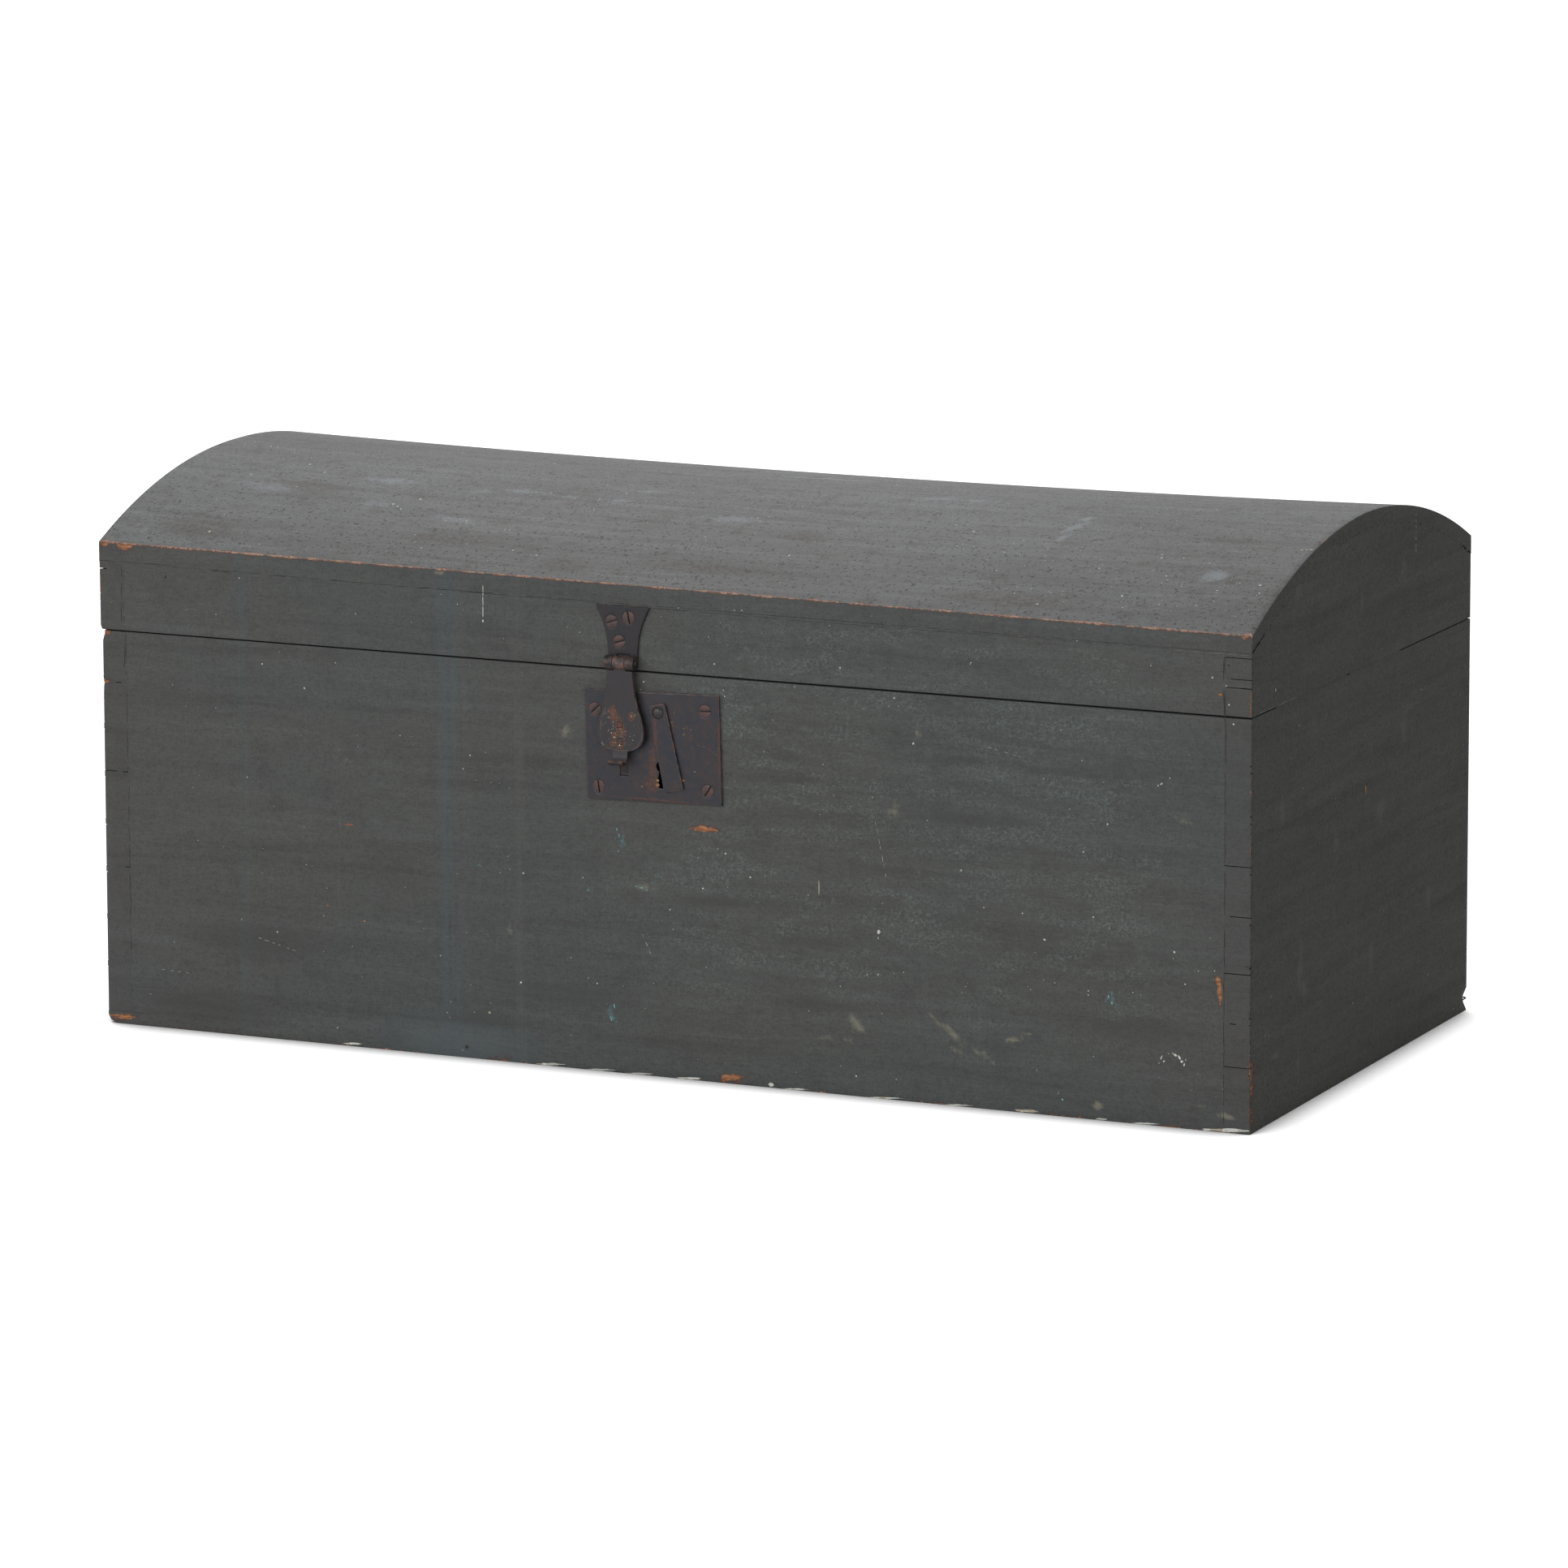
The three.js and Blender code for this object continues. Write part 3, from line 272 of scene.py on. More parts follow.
TEALS = {
    "front": [
        (765, 1035, 2.6, 7, 12), (753, 1248, 2.8, 7.5, 18), (1369, 1232, 3.6, 5, 0), (590, 1068, 3, 2, 0),
        (675, 966, 2, 3, 20), (722, 1098, 3, 1.6, 0),
    ],
}
DARKS = {
    "front": [
        (575, 1290, 3.0, 3.0, 0), (205, 712, 1.8, 1.8, 0), (1515, 819, 1.2, 1.2, 0),
        (320, 1160, 60, 14, 0), (260, 1240, 55, 12, 0), (1000, 1160, 40, 5, 0), (1200, 1010, 50, 5, 0),
        (1120, 1075, 40, 4, 0), (1400, 1270, 40, 8, 0), (900, 1110, 40, 5, 5), (700, 1225, 60, 7, 0),
        (600, 1255, 40, 6, 0), (960, 930, 26, 4, -5), (1000, 1238, 34, 6, 0),
    ],
    "dome": [
        (697, 695, 20, 11, 0), (992, 662, 18, 10, -10), (385, 600, 28, 12, 0), (560, 665, 40, 9, 0),
        (870, 700, 50, 8, 0), (1250, 740, 60, 10, 0), (250, 650, 34, 14, 0),
    ],
}
KINDS = {"chips": CHIPS, "scuffs": SCUFFS, "faint": FAINT_SCUFFS, "teals": TEALS, "darks": DARKS}
MARK_DEPTH = 7 * MM
FAR = 4


def away_from(marks, points):
    """How far points lie from the nearest mark, where 1 is a mark's rim."""
    nearest = np.full(len(points), float(FAR))
    for face, rows in marks.items():
        point_of, place_of = FACES[face]
        for u, v, across, down, tilt in rows:
            a, b = place_of(u, v)
            centre = point_of(a, b)
            along = (point_of(a + MM, b) - centre).normalized()
            upward = (point_of(a, b + MM) - centre).normalized()
            turn = math.radians(tilt)
            first = math.cos(turn) * along + math.sin(turn) * upward
            second = math.cos(turn) * upward - math.sin(turn) * along
            apart = points - np.array(centre)
            total = (apart @ np.array(first) / (across * MM)) ** 2
            total += (apart @ np.array(second) / (down * MM)) ** 2
            total += (apart @ np.array(first.cross(second)) / MARK_DEPTH) ** 2
            nearest = np.minimum(nearest, np.sqrt(total))
    return nearest


# Materials.

def rgb(red, green, blue):
    """A colour given as a screen shows it, from 0 to 255."""
    linear = [
        v / 12.92 if v <= 0.04045 else ((v + 0.055) / 1.055) ** 2.4
        for v in (red / 255, green / 255, blue / 255)
    ]
    return (*linear, 1)


class Net:
    """The nodes of a material or a world. Each call adds a node and returns its result."""

    def __init__(self, owner):
        self.owner = owner
        owner.use_nodes = True
        self.tree = owner.node_tree
        self.tree.nodes.clear()

    def add(self, kind, **settings):
        node = self.tree.nodes.new(kind)
        for key, value in settings.items():
            setattr(node, key, value)
        return node

    def put(self, socket, value):
        if isinstance(value, bpy.types.NodeSocket):
            self.tree.links.new(value, socket)
        else:
            socket.default_value = value

    def fed(self, node, *values, **named):
        """A node whose first sockets are given values, and those with a name."""
        for socket, value in zip(node.inputs, values):
            self.put(socket, value)
        for name, value in named.items():
            self.put(node.inputs[name], value)
        return node

    def math(self, operation, *values):
        return self.fed(self.add("ShaderNodeMath", operation=operation), *values).outputs[0]

    def vectors(self, operation, *values, **named):
        return self.fed(self.add("ShaderNodeVectorMath", operation=operation), *values, **named).outputs[0]

    def parts(self, vector):
        return self.fed(self.add("ShaderNodeSeparateXYZ"), vector).outputs

    def scaled(self, vector, factors):
        return self.vectors("MULTIPLY", vector, factors)

    def attribute(self, name, output="Fac"):
        return self.add("ShaderNodeAttribute", attribute_name=name).outputs[output]

    def noise(self, vector, scale=1, detail=3, roughness=0.5, distortion=0):
        node = self.add("ShaderNodeTexNoise")
        self.fed(node, Vector=vector, Scale=scale, Detail=detail, Roughness=roughness, Distortion=distortion)
        return node.outputs["Fac"]

    def noise_vector(self, vector, scale):
        """Noise of three parts, as a vector."""
        return self.fed(self.add("ShaderNodeTexNoise"), Vector=vector, Scale=scale).outputs["Color"]

    def edges_of_cells(self, vector):
        node = self.add("ShaderNodeTexVoronoi", feature="DISTANCE_TO_EDGE")
        return self.fed(node, Vector=vector, Scale=1).outputs["Distance"]

    def ease(self, value, start, end, low=0, high=1):
        """A smooth step of value from low at start to high at end."""
        node = self.add("ShaderNodeMapRange", interpolation_type="SMOOTHSTEP")
        return self.fed(node, value, start, end, low, high).outputs[0]

    def blend(self, factor, first, second):
        node = self.add("ShaderNodeMix", data_type="RGBA")
        for index, value in ((0, factor), (6, first), (7, second)):
            self.put(node.inputs[index], value)
        return node.outputs[2]

    def lay(self, colour, other, value, start, end, strength=None):
        """The colour with another laid over it as value goes from start to end, up to strength."""
        cover = self.ease(value, start, end)
        return self.blend(cover if strength is None else self.times(cover, strength), colour, other)

    def times(self, *values):
        result = values[0]
        for value in values[1:]:
            result = self.math("MULTIPLY", result, value)
        return result

    def sum(self, *values):
        result = values[0]
        for value in values[1:]:
            result = self.math("ADD", result, value)
        return result

    def less(self, value, other):
        return self.math("SUBTRACT", value, other)

    def size(self, value):
        return self.math("ABSOLUTE", value)

    def shift(self, value, amount):
        """A noise value, from -amount / 2 to amount / 2."""
        return self.times(self.less(value, 0.5), amount)

    def brighten(self, colour, amount):
        """The colour times one plus amount."""
        return self.vectors("SCALE", colour, Scale=self.sum(amount, 1))

    def bump(self, height, distance, strength):
        node = self.add("ShaderNodeBump")
        return self.fed(node, Height=height, Distance=distance, Strength=strength).outputs[0]

    def finish(self, colour, roughness, normal, metallic, specular):
        shader = self.fed(
            self.add("ShaderNodeBsdfPrincipled"), Roughness=roughness, Metallic=metallic, Normal=normal,
            **{"Base Color": colour, "Specular IOR Level": specular},
        )
        self.output(shader.outputs[0])
        return self.owner

    def output(self, surface, kind="ShaderNodeOutputMaterial"):
        self.put(self.add(kind).inputs[0], surface)

    def seen(self):
        """1 for the rays that show a thing, and 0 for those that only light others."""
        rays = self.add("ShaderNodeLightPath").outputs
        direct = self.math("MAXIMUM", rays["Is Camera Ray"], rays["Is Glossy Ray"])
        return self.math("MAXIMUM", direct, rays["Is Transmission Ray"])


def material_net(name):
    return Net(bpy.data.materials.new(name))


# Old paint. The grain of the wood under it shows as long streaks and fine ridges.
BARE = rgb(174, 124, 86)
BARE_DARK = rgb(124, 78, 54)
WORN = rgb(156, 124, 106)
WORN_DARK = rgb(106, 78, 68)
PRIMER = rgb(80, 62, 57)
# The colour of painted shade, in the seam and in the gaps between boards.
SEAM_SHADE = rgb(22, 22, 22)
TAIL_TINT = rgb(66, 63, 64)
TEAL = rgb(96, 134, 140)
CRACKLE = rgb(106, 115, 111)
CRACKLE_FILM = rgb(76, 84, 83)
GRAIN = {"x": (1.3, 22, 22), "y": (22, 1.3, 22)}
FIBRES = {"x": (4, 26, 26), "y": (26, 4, 26)}
CLOUDS = {"x": (4, 9, 9), "y": (9, 4, 9)}
DRIPS = (230, 230, 13)

# Washes that have run down the front: a pixel column, half a width in millimetres, a tint and a strength.
TEAL_WASH = rgb(76, 88, 92)
PALE_WASH = rgb(92, 90, 88)
FOOT_WASH = rgb(82, 91, 95)
WASH_ROW = 1000
WASHES = (
    (553, 9, TEAL_WASH, 0.38), (640, 5, PALE_WASH, 0.3),
    (572, 5, PALE_WASH, 0.15), (300, 4, TEAL_WASH, 0.25),
)


class Paint(Net):
    """Old paint on wood whose grain runs along one axis. tune holds what differs by face."""

    def __init__(self, name, along, tones, tune):
        super().__init__(bpy.data.materials.new(name))
        self.along = along
        self.tune = tune
        self.tones = [rgb(*tone) for tone in tones]
        self.dome = name == "dome_paint"
        self.place = self.attribute("rest", "Vector")
        self.x, self.y, self.z = self.parts(self.place)
        self.streaks = self.noise(self.scaled(self.place, GRAIN[along]), 6, 5, 0.6, 0.5)
        self.fibres = self.noise(self.scaled(self.place, FIBRES[along]), 40, 4, 0.65)
        self.mottle = self.ease(self.noise(self.place, 430, 3, 0.7), 0.33, 0.67)
        self.dust = self.noise(self.place, 60, 5, 0.65)

    def made(self):
        tune = self.tune
        colour = self.weathered()
        if tune["crackle"]:
            colour = self.crackled(self.washed(colour))
        if tune["tail"]:
            beyond = self.math("GREATER_THAN", self.size(self.x), END_SHOULDER)
            colour = self.blend(self.times(beyond, tune["tail"]), colour, TAIL_TINT)
        colour = self.marked(colour)
        if self.dome:
            colour = self.dome_highlight(colour)
        if self.along == "x":
            colour = self.shaded_seam(colour)
        colour = self.edged(colour)
        rough = self.sum(tune["rough"], self.shift(self.streaks, 0.2), self.shift(self.mottle, 0.12))
        ridges = self.sum(self.times(self.fibres, 0.5), self.times(self.streaks, 0.45))
        normal = self.bump(self.sum(ridges, self.times(self.mottle, 0.3)), 0.3 * MM, 0.6)
        return self.finish(colour, rough, normal, 0, tune["gloss"])

    def weathered(self):
        """The paint's own tones: clouds, streaks, dull film, drips, fibres and pores."""
        tune = self.tune
        main, second, dark, light = self.tones
        clouds = self.noise(self.scaled(self.place, CLOUDS[self.along]), 1, 4, 0.55)
        drips = self.noise(self.scaled(self.place, DRIPS), 1, 4, 0.65)
        colour = self.lay(main, second, clouds, 0.38, 0.64)
        colour = self.lay(colour, dark, self.streaks, 0.5, 0.72, tune["streaks"])
        colour = self.lay(colour, light, self.streaks, 0.48, 0.28, tune["streaks"])
        colour = self.lay(colour, dark, self.dust, 0.5, 0.7, tune["film"])
        colour = self.lay(colour, light, drips, 0.56, 0.72, tune["drips"])
        colour = self.brighten(colour, self.shift(self.fibres, tune["fibres"]))
        colour = self.brighten(colour, self.shift(self.mottle, tune["mottle"]))
        pit = (*(0.7 * value for value in dark[:3]), 1)
        return self.lay(colour, pit, self.mottle, 0.72, 0.95, tune["pores"])

    def washed(self, colour):
        """Upright runs of old washes, and a bluish stain along the foot."""
        bent = self.sum(self.x, self.shift(self.noise(self.place, 30), 4 * MM))
        broken = self.ease(self.noise(self.scaled(self.place, (300, 1, 10)), 1, 4, 0.6), 0.3, 0.66)
        for column, width, tint, strength in WASHES:
            gap = self.size(self.less(bent, front_place(column, WASH_ROW)[0]))
            run = self.times(self.ease(gap, width * MM, 0.4 * width * MM), broken, strength)
            colour = self.blend(run, colour, tint)
        sides = self.times(self.ease(bent, -200 * MM, -140 * MM), self.ease(bent, -60 * MM, -120 * MM))
        return self.blend(self.times(sides, self.ease(self.z, 34 * MM, 8 * MM), 0.5), colour, FOOT_WASH)

    def crackled(self, colour):
        """Paint crackled in fine pale lines, most of all to the right of the lock."""
        patches = self.noise(self.scaled(self.place, (16, 30, 75)), 1, 5, 0.7)
        bend = self.scaled(self.noise_vector(self.place, 700), (1.6, 1.6, 1.6))
        lines = self.edges_of_cells(self.vectors("ADD", self.scaled(self.place, (400, 400, 640)), bend))
        whole = self.ease(self.noise(self.place, 420, 4, 0.7), 0.4, 0.58)
        mask = self.times(
            self.ease(patches, 0.42, 0.64),
            self.ease(self.x, -90 * MM, 60 * MM, 0.15, 1),
            self.ease(self.x, 330 * MM, 270 * MM, 0.1, 1),
            self.ease(self.z, 20 * MM, 80 * MM, 0.2, 1),
            self.ease(self.z, 270 * MM, 262 * MM),
        )
        colour = self.blend(self.times(mask, 0.06), colour, CRACKLE_FILM)
        return self.blend(self.times(self.ease(lines, 0.16, 0.02), mask, whole, 0.75), colour, CRACKLE)

    def marked(self, colour):
        """Marks, whose ragged edges come from noise added to the distance from each."""
        ragged = self.noise(self.place, 300, 5, 0.75)
        edges = self.shift(ragged, 1.6)
        chips, scuffs, teals = self.parts(self.attribute("marks", "Vector"))
        darks = self.sum(self.attribute("darks"), self.shift(self.dust, 1.2))
        colour = self.lay(colour, self.tones[2], darks, 1.1, 0.3, self.tune["darks"])
        scuffs = self.sum(scuffs, edges, self.shift(self.dust, 1.4))
        colour = self.lay(colour, self.tune["scuff"], scuffs, 1.15, 0.3, self.tune["scuffs"])
        if self.tune["crackle"]:
            colour = self.lay(colour, TEAL, self.sum(teals, self.shift(ragged, 4)), 1.0, -0.2, 0.8)
        bare = self.lay(BARE_DARK, BARE, self.fibres, 0.4, 0.62)
        chipped = self.sum(chips, edges)
        colour = self.lay(colour, PRIMER, chipped, 1.45, 1.1, 0.75)
        return self.lay(colour, bare, chipped, 1.15, 0.95)

    def dome_highlight(self, colour):
        """A painted highlight: the dome's middle and its crest made paler, where the light falls on it most.
        """
        middle = self.ease(self.size(self.sum(self.x, 20 * MM)), 300 * MM, 60 * MM, 0, 0.13)
        crest = self.ease(self.z, ARRIS + 14 * MM, CREST, 0, 0.14)
        return self.brighten(colour, self.sum(middle, crest))

    def shaded_seam(self, colour):
        """Painted shade along the seam between lid and case, thinner at the left."""
        gap = self.size(self.less(self.z, SEAM_MIDDLE))
        strength = self.ease(self.x, -300 * MM, 40 * MM, 0.25, 0.9)
        return self.lay(colour, SEAM_SHADE, gap, 0.85 * MM, 0.5 * MM, strength)

    def edged(self, colour):
        """Wear along the outer edges, where the wood shows through."""
        ends = self.less(HALF_LENGTH, self.size(self.x))
        fronts = self.less(HALF_DEPTH, self.size(self.y))
        if self.dome:
            gap = self.math("MINIMUM", ends, fronts)
        else:
            gap = self.math("MINIMUM", fronts if self.along == "y" else ends, self.size(self.z))
        patches = self.noise(self.place, 46, 5, 0.75)
        worn = self.less(self.times(self.less(patches, self.tune["wear"]), 9 * MM), gap)
        if self.along == "x":
            arris_gap = self.sum(self.y, HALF_DEPTH) if self.dome else self.size(self.less(self.z, ARRIS))
            line = self.times(self.less(self.noise(self.place, 90, 5, 0.7), 0.34), self.tune["arris"])
            worn = self.math("MAXIMUM", worn, self.less(line, arris_gap))
        worn_wood = self.lay(WORN_DARK, WORN, self.mottle, 0.42, 0.6)
        colour = self.lay(colour, PRIMER, worn, -0.6 * MM, 0.15 * MM, 0.7)
        return self.lay(colour, worn_wood, worn, 0, 0.35 * MM)


FRONT_TUNE = {
    "streaks": 0.45, "film": 0.4, "fibres": 0.6, "mottle": 0.4, "pores": 0.5, "drips": 0.25, "crackle": True,
    "tail": 0.28, "darks": 0.5, "scuffs": 0.8, "scuff": rgb(126, 123, 110), "wear": 0.52, "arris": 3 * MM,
    "rough": 0.6, "gloss": 0.2,
}
BACK_TUNE = {**FRONT_TUNE, "crackle": False}
END_TUNE = {
    **BACK_TUNE, "streaks": 0.34, "fibres": 0.7, "mottle": 0.9, "drips": 0.6, "tail": 0, "scuffs": 0.75,
    "scuff": rgb(101, 103, 98), "wear": 0.64, "rough": 0.76, "gloss": 0.1,
}
DOME_TUNE = {
    **BACK_TUNE, "streaks": 0.32, "film": 0.7, "fibres": 0.85, "mottle": 0.82, "pores": 1, "drips": 0,
    "tail": 0, "scuffs": 0.75, "darks": 0.85, "arris": 5.4 * MM, "scuff": rgb(114, 119, 122),
    "wear": 0.66, "rough": 0.56, "gloss": 0.12,
}
FRONT_TONES = ((75, 78, 77), (78, 78, 76), (62, 62, 61), (85, 88, 87))
BACK_TONES = ((74, 78, 77), (77, 77, 75), (62, 62, 61), (84, 88, 87))
END_TONES = ((78, 80, 77), (81, 81, 78), (67, 67, 66), (88, 90, 87))
DOME_TONES = ((84, 84, 84), (92, 93, 94), (70, 68, 66), (101, 102, 103))
front_paint = Paint("front_paint", "x", FRONT_TONES, FRONT_TUNE).made()
back_paint = Paint("back_paint", "x", BACK_TONES, BACK_TUNE).made()
end_paint = Paint("end_paint", "y", END_TONES, END_TUNE).made()
dome_paint = Paint("dome_paint", "x", DOME_TONES, DOME_TUNE).made()


def make_inside_wood():
    """The unpainted inside of the boards."""
    n = material_net("inside_wood")
    place = n.attribute("rest", "Vector")
    grain_place = n.scaled(place, (1, 22, 22))
    rings = n.noise(grain_place, 9, 5, 0.6, 0.6)
    fibres = n.noise(grain_place, 60, 4, 0.6)
    stains = n.noise(place, 9, 4)
    colour = n.lay(rgb(120, 90, 62), rgb(152, 120, 86), rings, 0.35, 0.66)
    colour = n.lay(colour, rgb(92, 70, 52), stains, 0.5, 0.7, 0.5)
    colour = n.brighten(colour, n.shift(fibres, 0.4))
    x, y, _ = n.parts(place)
    # Painted shade: the rims and joint faces are darkened within a few millimetres of the outer faces, so
    # that the seam and the joints show dark through their gaps.
    rim = n.math("MINIMUM", n.less(HALF_LENGTH, n.size(x)), n.less(HALF_DEPTH, n.size(y)))
    gap_shade = n.sum(rim, n.shift(stains, 3 * MM))
    colour = n.lay(colour, SEAM_SHADE, gap_shade, 5 * MM, 3.5 * MM)
    return n.finish(colour, 0.8, n.bump(n.sum(rings, fibres), 0.3 * MM, 0.5), 0, 0.2)


inside_wood = make_inside_wood()

# Boards. Each is a copy of its CAD node with its outer faces cut into a grid, its outer edges worn
# round, and the settling of the whole trunk.
FRONT, BACK, END, DOME, INSIDE = range(5)
WOODS = (front_paint, back_paint, end_paint, dome_paint, inside_wood)
SNUG = 1e-5
SQUARE = 0.9  # how much of a direction has to lie along an axis to count as along it
GRID = 4.5 * MM
GRID_MARGIN = 1 * MM
ARRIS_WIDTH = 0.55 * MM
ARRIS_ANGLE = 0.5  # radians
BOARD_SHARP = 40  # degrees

# Notches worn into the corners: a face, a pixel, and the notch's reach and depth in millimetres.
NOTCHES = (
    ("end", 1808, 676, 3.4, 1.3), ("end", 1808, 759, 3.4, 1.3), ("end", 1806, 1231, 7.0, 2.4),
    ("front", 127, 779, 4, 1.0), ("front", 132, 841, 4, 1.0), ("front", 1538, 1197, 3.5, 1.0),
)

# Dents along the outer edges: how long they are, and how deep in millimetres at a corner and elsewhere.
DENT_SIZE = 9 * MM
FINE_DENT_SIZE = 3.5 * MM
CORNER_DENT = 0.5
EDGE_DENT = 0.25

# The lowest points of the case, which stand off the floor in long waves.
FOOT = 1.5 * MM
FOOT_LIFT = 0.5 * MM
FOOT_WAVE = 40 * MM


def surface(face, u, v):
    """The point of a face that a pixel shows."""
    point_of, place_of = FACES[face]
    return point_of(*place_of(u, v))


notches = [(surface(face, u, v), reach, depth) for face, u, v, reach, depth in NOTCHES]


def near(value, *places):
    return any(abs(value - place) < SNUG for place in places)


def region_of(face):
    """Which material a board's face takes, from where the face is."""
    middle = face.calc_center_median()
    across = face.normal
    if near(abs(middle.x), HALF_LENGTH) and abs(across.x) > SQUARE:
        return END
    if near(abs(middle.y), HALF_DEPTH) and abs(across.y) > SQUARE:
        return FRONT if middle.y < 0 else BACK
    return INSIDE


def clean_copy(node):
    """A copy of a CAD node's shape with its flat faces whole."""
    shape = bmesh.new()
    shape.from_mesh(nodes[node].data)
    bmesh.ops.remove_doubles(shape, verts=shape.verts, dist=SNUG / 10)
    bmesh.ops.dissolve_limit(shape, angle_limit=math.radians(1), verts=shape.verts, edges=shape.edges)
    shape.normal_update()
    return shape


def cut_grid(shape, axes, step, margin, chooses):
    """Cuts the chosen faces into a grid, so that marks, wear and rust have points to sit on."""
    for axis in axes:
        direction = Vector([float(i == axis) for i in range(3)])
        values = [vertex.co[axis] for vertex in shape.verts]
        first = math.ceil((min(values) + margin) / step)
        for i in range(first, math.ceil((max(values) - margin) / step)):
            chosen = [face for face in shape.faces if chooses(face)]
            around = dict.fromkeys(edge for face in chosen for edge in face.edges)
            corners = dict.fromkeys(vertex for face in chosen for vertex in face.verts)
            bmesh.ops.bisect_plane(
                shape, geom=[*chosen, *around, *corners], plane_co=i * step * direction, plane_no=direction,
                dist=SNUG / 10,
            )


def bevel(shape, edges, width, segments):
    return bmesh.ops.bevel(
        shape, geom=edges, offset=width, segments=segments, profile=0.5, affect="EDGES", clamp_overlap=True,
        material=-1,
    )


def outer_faces(point):
    """How many of the trunk's outer faces a point lies on."""
    over = near(point.z, 0, SEAM, LID_FOOT)
    return near(abs(point.x), HALF_LENGTH) + near(abs(point.y), HALF_DEPTH) + over


def dented(point):
    """A point moved by the dents and notches of the trunk's corners."""
    dent = max(noise.noise(point / DENT_SIZE) + 0.6 * noise.noise(point / FINE_DENT_SIZE), 0)
    moved = point.copy()
    inwards = Vector((-math.copysign(1, point.x), -math.copysign(1, point.y), 0))
    corner = near(abs(point.x), HALF_LENGTH) and near(abs(point.y), HALF_DEPTH)
    if outer_faces(point) >= 2:
        moved += inwards * dent * (CORNER_DENT if corner else EDGE_DENT) * MM
    if point.z < FOOT:
        wave = noise.noise(Vector((point.x / FOOT_WAVE, point.y / FOOT_WAVE, 3)))
        moved.z += FOOT_LIFT * max(wave + 0.2, 0)
    for centre, reach, depth in notches:
        closeness = 1 - (point - centre).length / (reach * MM)
        if closeness > 0:
            moved += inwards * closeness * depth * MM
    return moved


def add_vectors(mesh, name, values):
    item = mesh.attributes.new(name, "FLOAT_VECTOR", "POINT")
    item.data.foreach_set("vector", np.asarray(values, dtype=np.float32).ravel())


def add_numbers(mesh, name, values, domain="POINT"):
    item = mesh.attributes.new(name, "FLOAT", domain)
    item.data.foreach_set("value", np.asarray(values, dtype=np.float32))


def add_rest(mesh):
    """Gives each point its place at rest."""
    rest = np.array([vertex.co[:] for vertex in mesh.vertices])
    add_vectors(mesh, "rest", rest)
    return rest


def add_marks(mesh):
    """Gives each point its place at rest and how far it is from the paint's marks."""
    rest = add_rest(mesh)
    fields = {kind: away_from(marks, rest) for kind, marks in KINDS.items()}
    scuffs = np.minimum(fields["scuffs"], fields["faint"] + FAINTNESS)
    add_vectors(mesh, "marks", np.stack([fields["chips"], scuffs, fields["teals"]], axis=1))
    add_numbers(mesh, "darks", fields["darks"])


def smooth_between(shape, sharp_degrees):
    """Smooths the shading, except across edges sharper than an angle."""
    shape.normal_update()
    for face in shape.faces:
        face.smooth = True
    for edge in shape.edges:
        edge.smooth = len(edge.link_faces) == 2 and edge.calc_face_angle() < math.radians(sharp_degrees)


def mesh_of(name, shape):
    mesh = bpy.data.meshes.new(name)
    shape.to_mesh(mesh)
    shape.free()
    return mesh


def settle(mesh):
    for vertex in mesh.vertices:
        vertex.co = settled(vertex.co)


def add_piece(name, mesh, materials, slot, body, *replaced):
    """A mesh as a piece that rides a body, in the place of the CAD nodes it replaces."""
    for material in materials:
        mesh.materials.append(material)
    made = add_object(name, mesh)
    if replaced:
        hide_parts(*replaced)
    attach(made, body)
    return made


def body_of(name):
    return next(body for body, members in bodies.items() if name in members)


def finish_board(name, shape, node):
    """Turns a board's finished shape into a piece that takes the CAD board's place."""
    smooth_between(shape, BOARD_SHARP)
    mesh = mesh_of(name, shape)
    add_marks(mesh)
    for vertex in mesh.vertices:
        vertex.co = settled(dented(vertex.co))
    add_piece(name, mesh, WOODS, "painted_wood", body_of(node), node)


def is_arris(edge):
    """Whether an edge is one of the trunk's own outer edges."""
    return (
        len(edge.link_faces) == 2 and edge.calc_face_angle(0) > ARRIS_ANGLE
        and all(outer_faces(vertex.co) >= 2 for vertex in edge.verts)
        and any(face.material_index != INSIDE for face in edge.link_faces)
    )


def make_board(node):
    shape = clean_copy(node)
    for face in shape.faces:
        face.material_index = region_of(face)
    cut_grid(shape, range(3), GRID, GRID_MARGIN, lambda face: face.material_index != INSIDE)
    bevel(shape, [edge for edge in shape.edges if is_arris(edge)], ARRIS_WIDTH, 3)
    finish_board(f"worn_{node}", shape, node)


# The bent board over the lid, made anew with a smooth curve.
OUTER_STEPS = 96
INNER_STEPS = 24
EDGE_STEPS = 6


def dome_section():
    """The bent board's outline, as places across and up, with the kind of the face after each."""
    inner = DOME_RADIUS - DOME_THICKNESS
    edge_foot = DOME_CENTRE + math.sqrt(inner ** 2 - HALF_DEPTH ** 2)
    half_turn = math.asin(HALF_DEPTH / DOME_RADIUS) * (1 - ARRIS_WIDTH / HALF_DEPTH)
    inner_turn = math.asin(HALF_DEPTH / inner)

    def on_curve(radius, turn, kind):
        return radius * math.sin(turn), DOME_CENTRE + radius * math.cos(turn), kind

    outer_turns = [half_turn * (2 * i / OUTER_STEPS - 1) for i in range(OUTER_STEPS + 1)]
    inner_turns = [inner_turn * (1 - 2 * i / INNER_STEPS) for i in range(1, INNER_STEPS)]
    outside = [on_curve(DOME_RADIUS, turn, DOME) for turn in outer_turns]
    under = [on_curve(inner, turn, INSIDE) for turn in inner_turns]
    top = outside[-1][1]
    back = [(HALF_DEPTH - 0.2 * ARRIS_WIDTH, top - 0.2 * ARRIS_WIDTH, DOME)]
    for i in range(1, EDGE_STEPS):
        back.append((HALF_DEPTH, top - 0.5 * ARRIS_WIDTH + (edge_foot - top) * i / EDGE_STEPS, BACK))
    back.append((HALF_DEPTH, edge_foot, BACK))
    front = [(-y, z, FRONT if kind == BACK else kind) for y, z, kind in reversed(back)]
    return outside + back + under + front


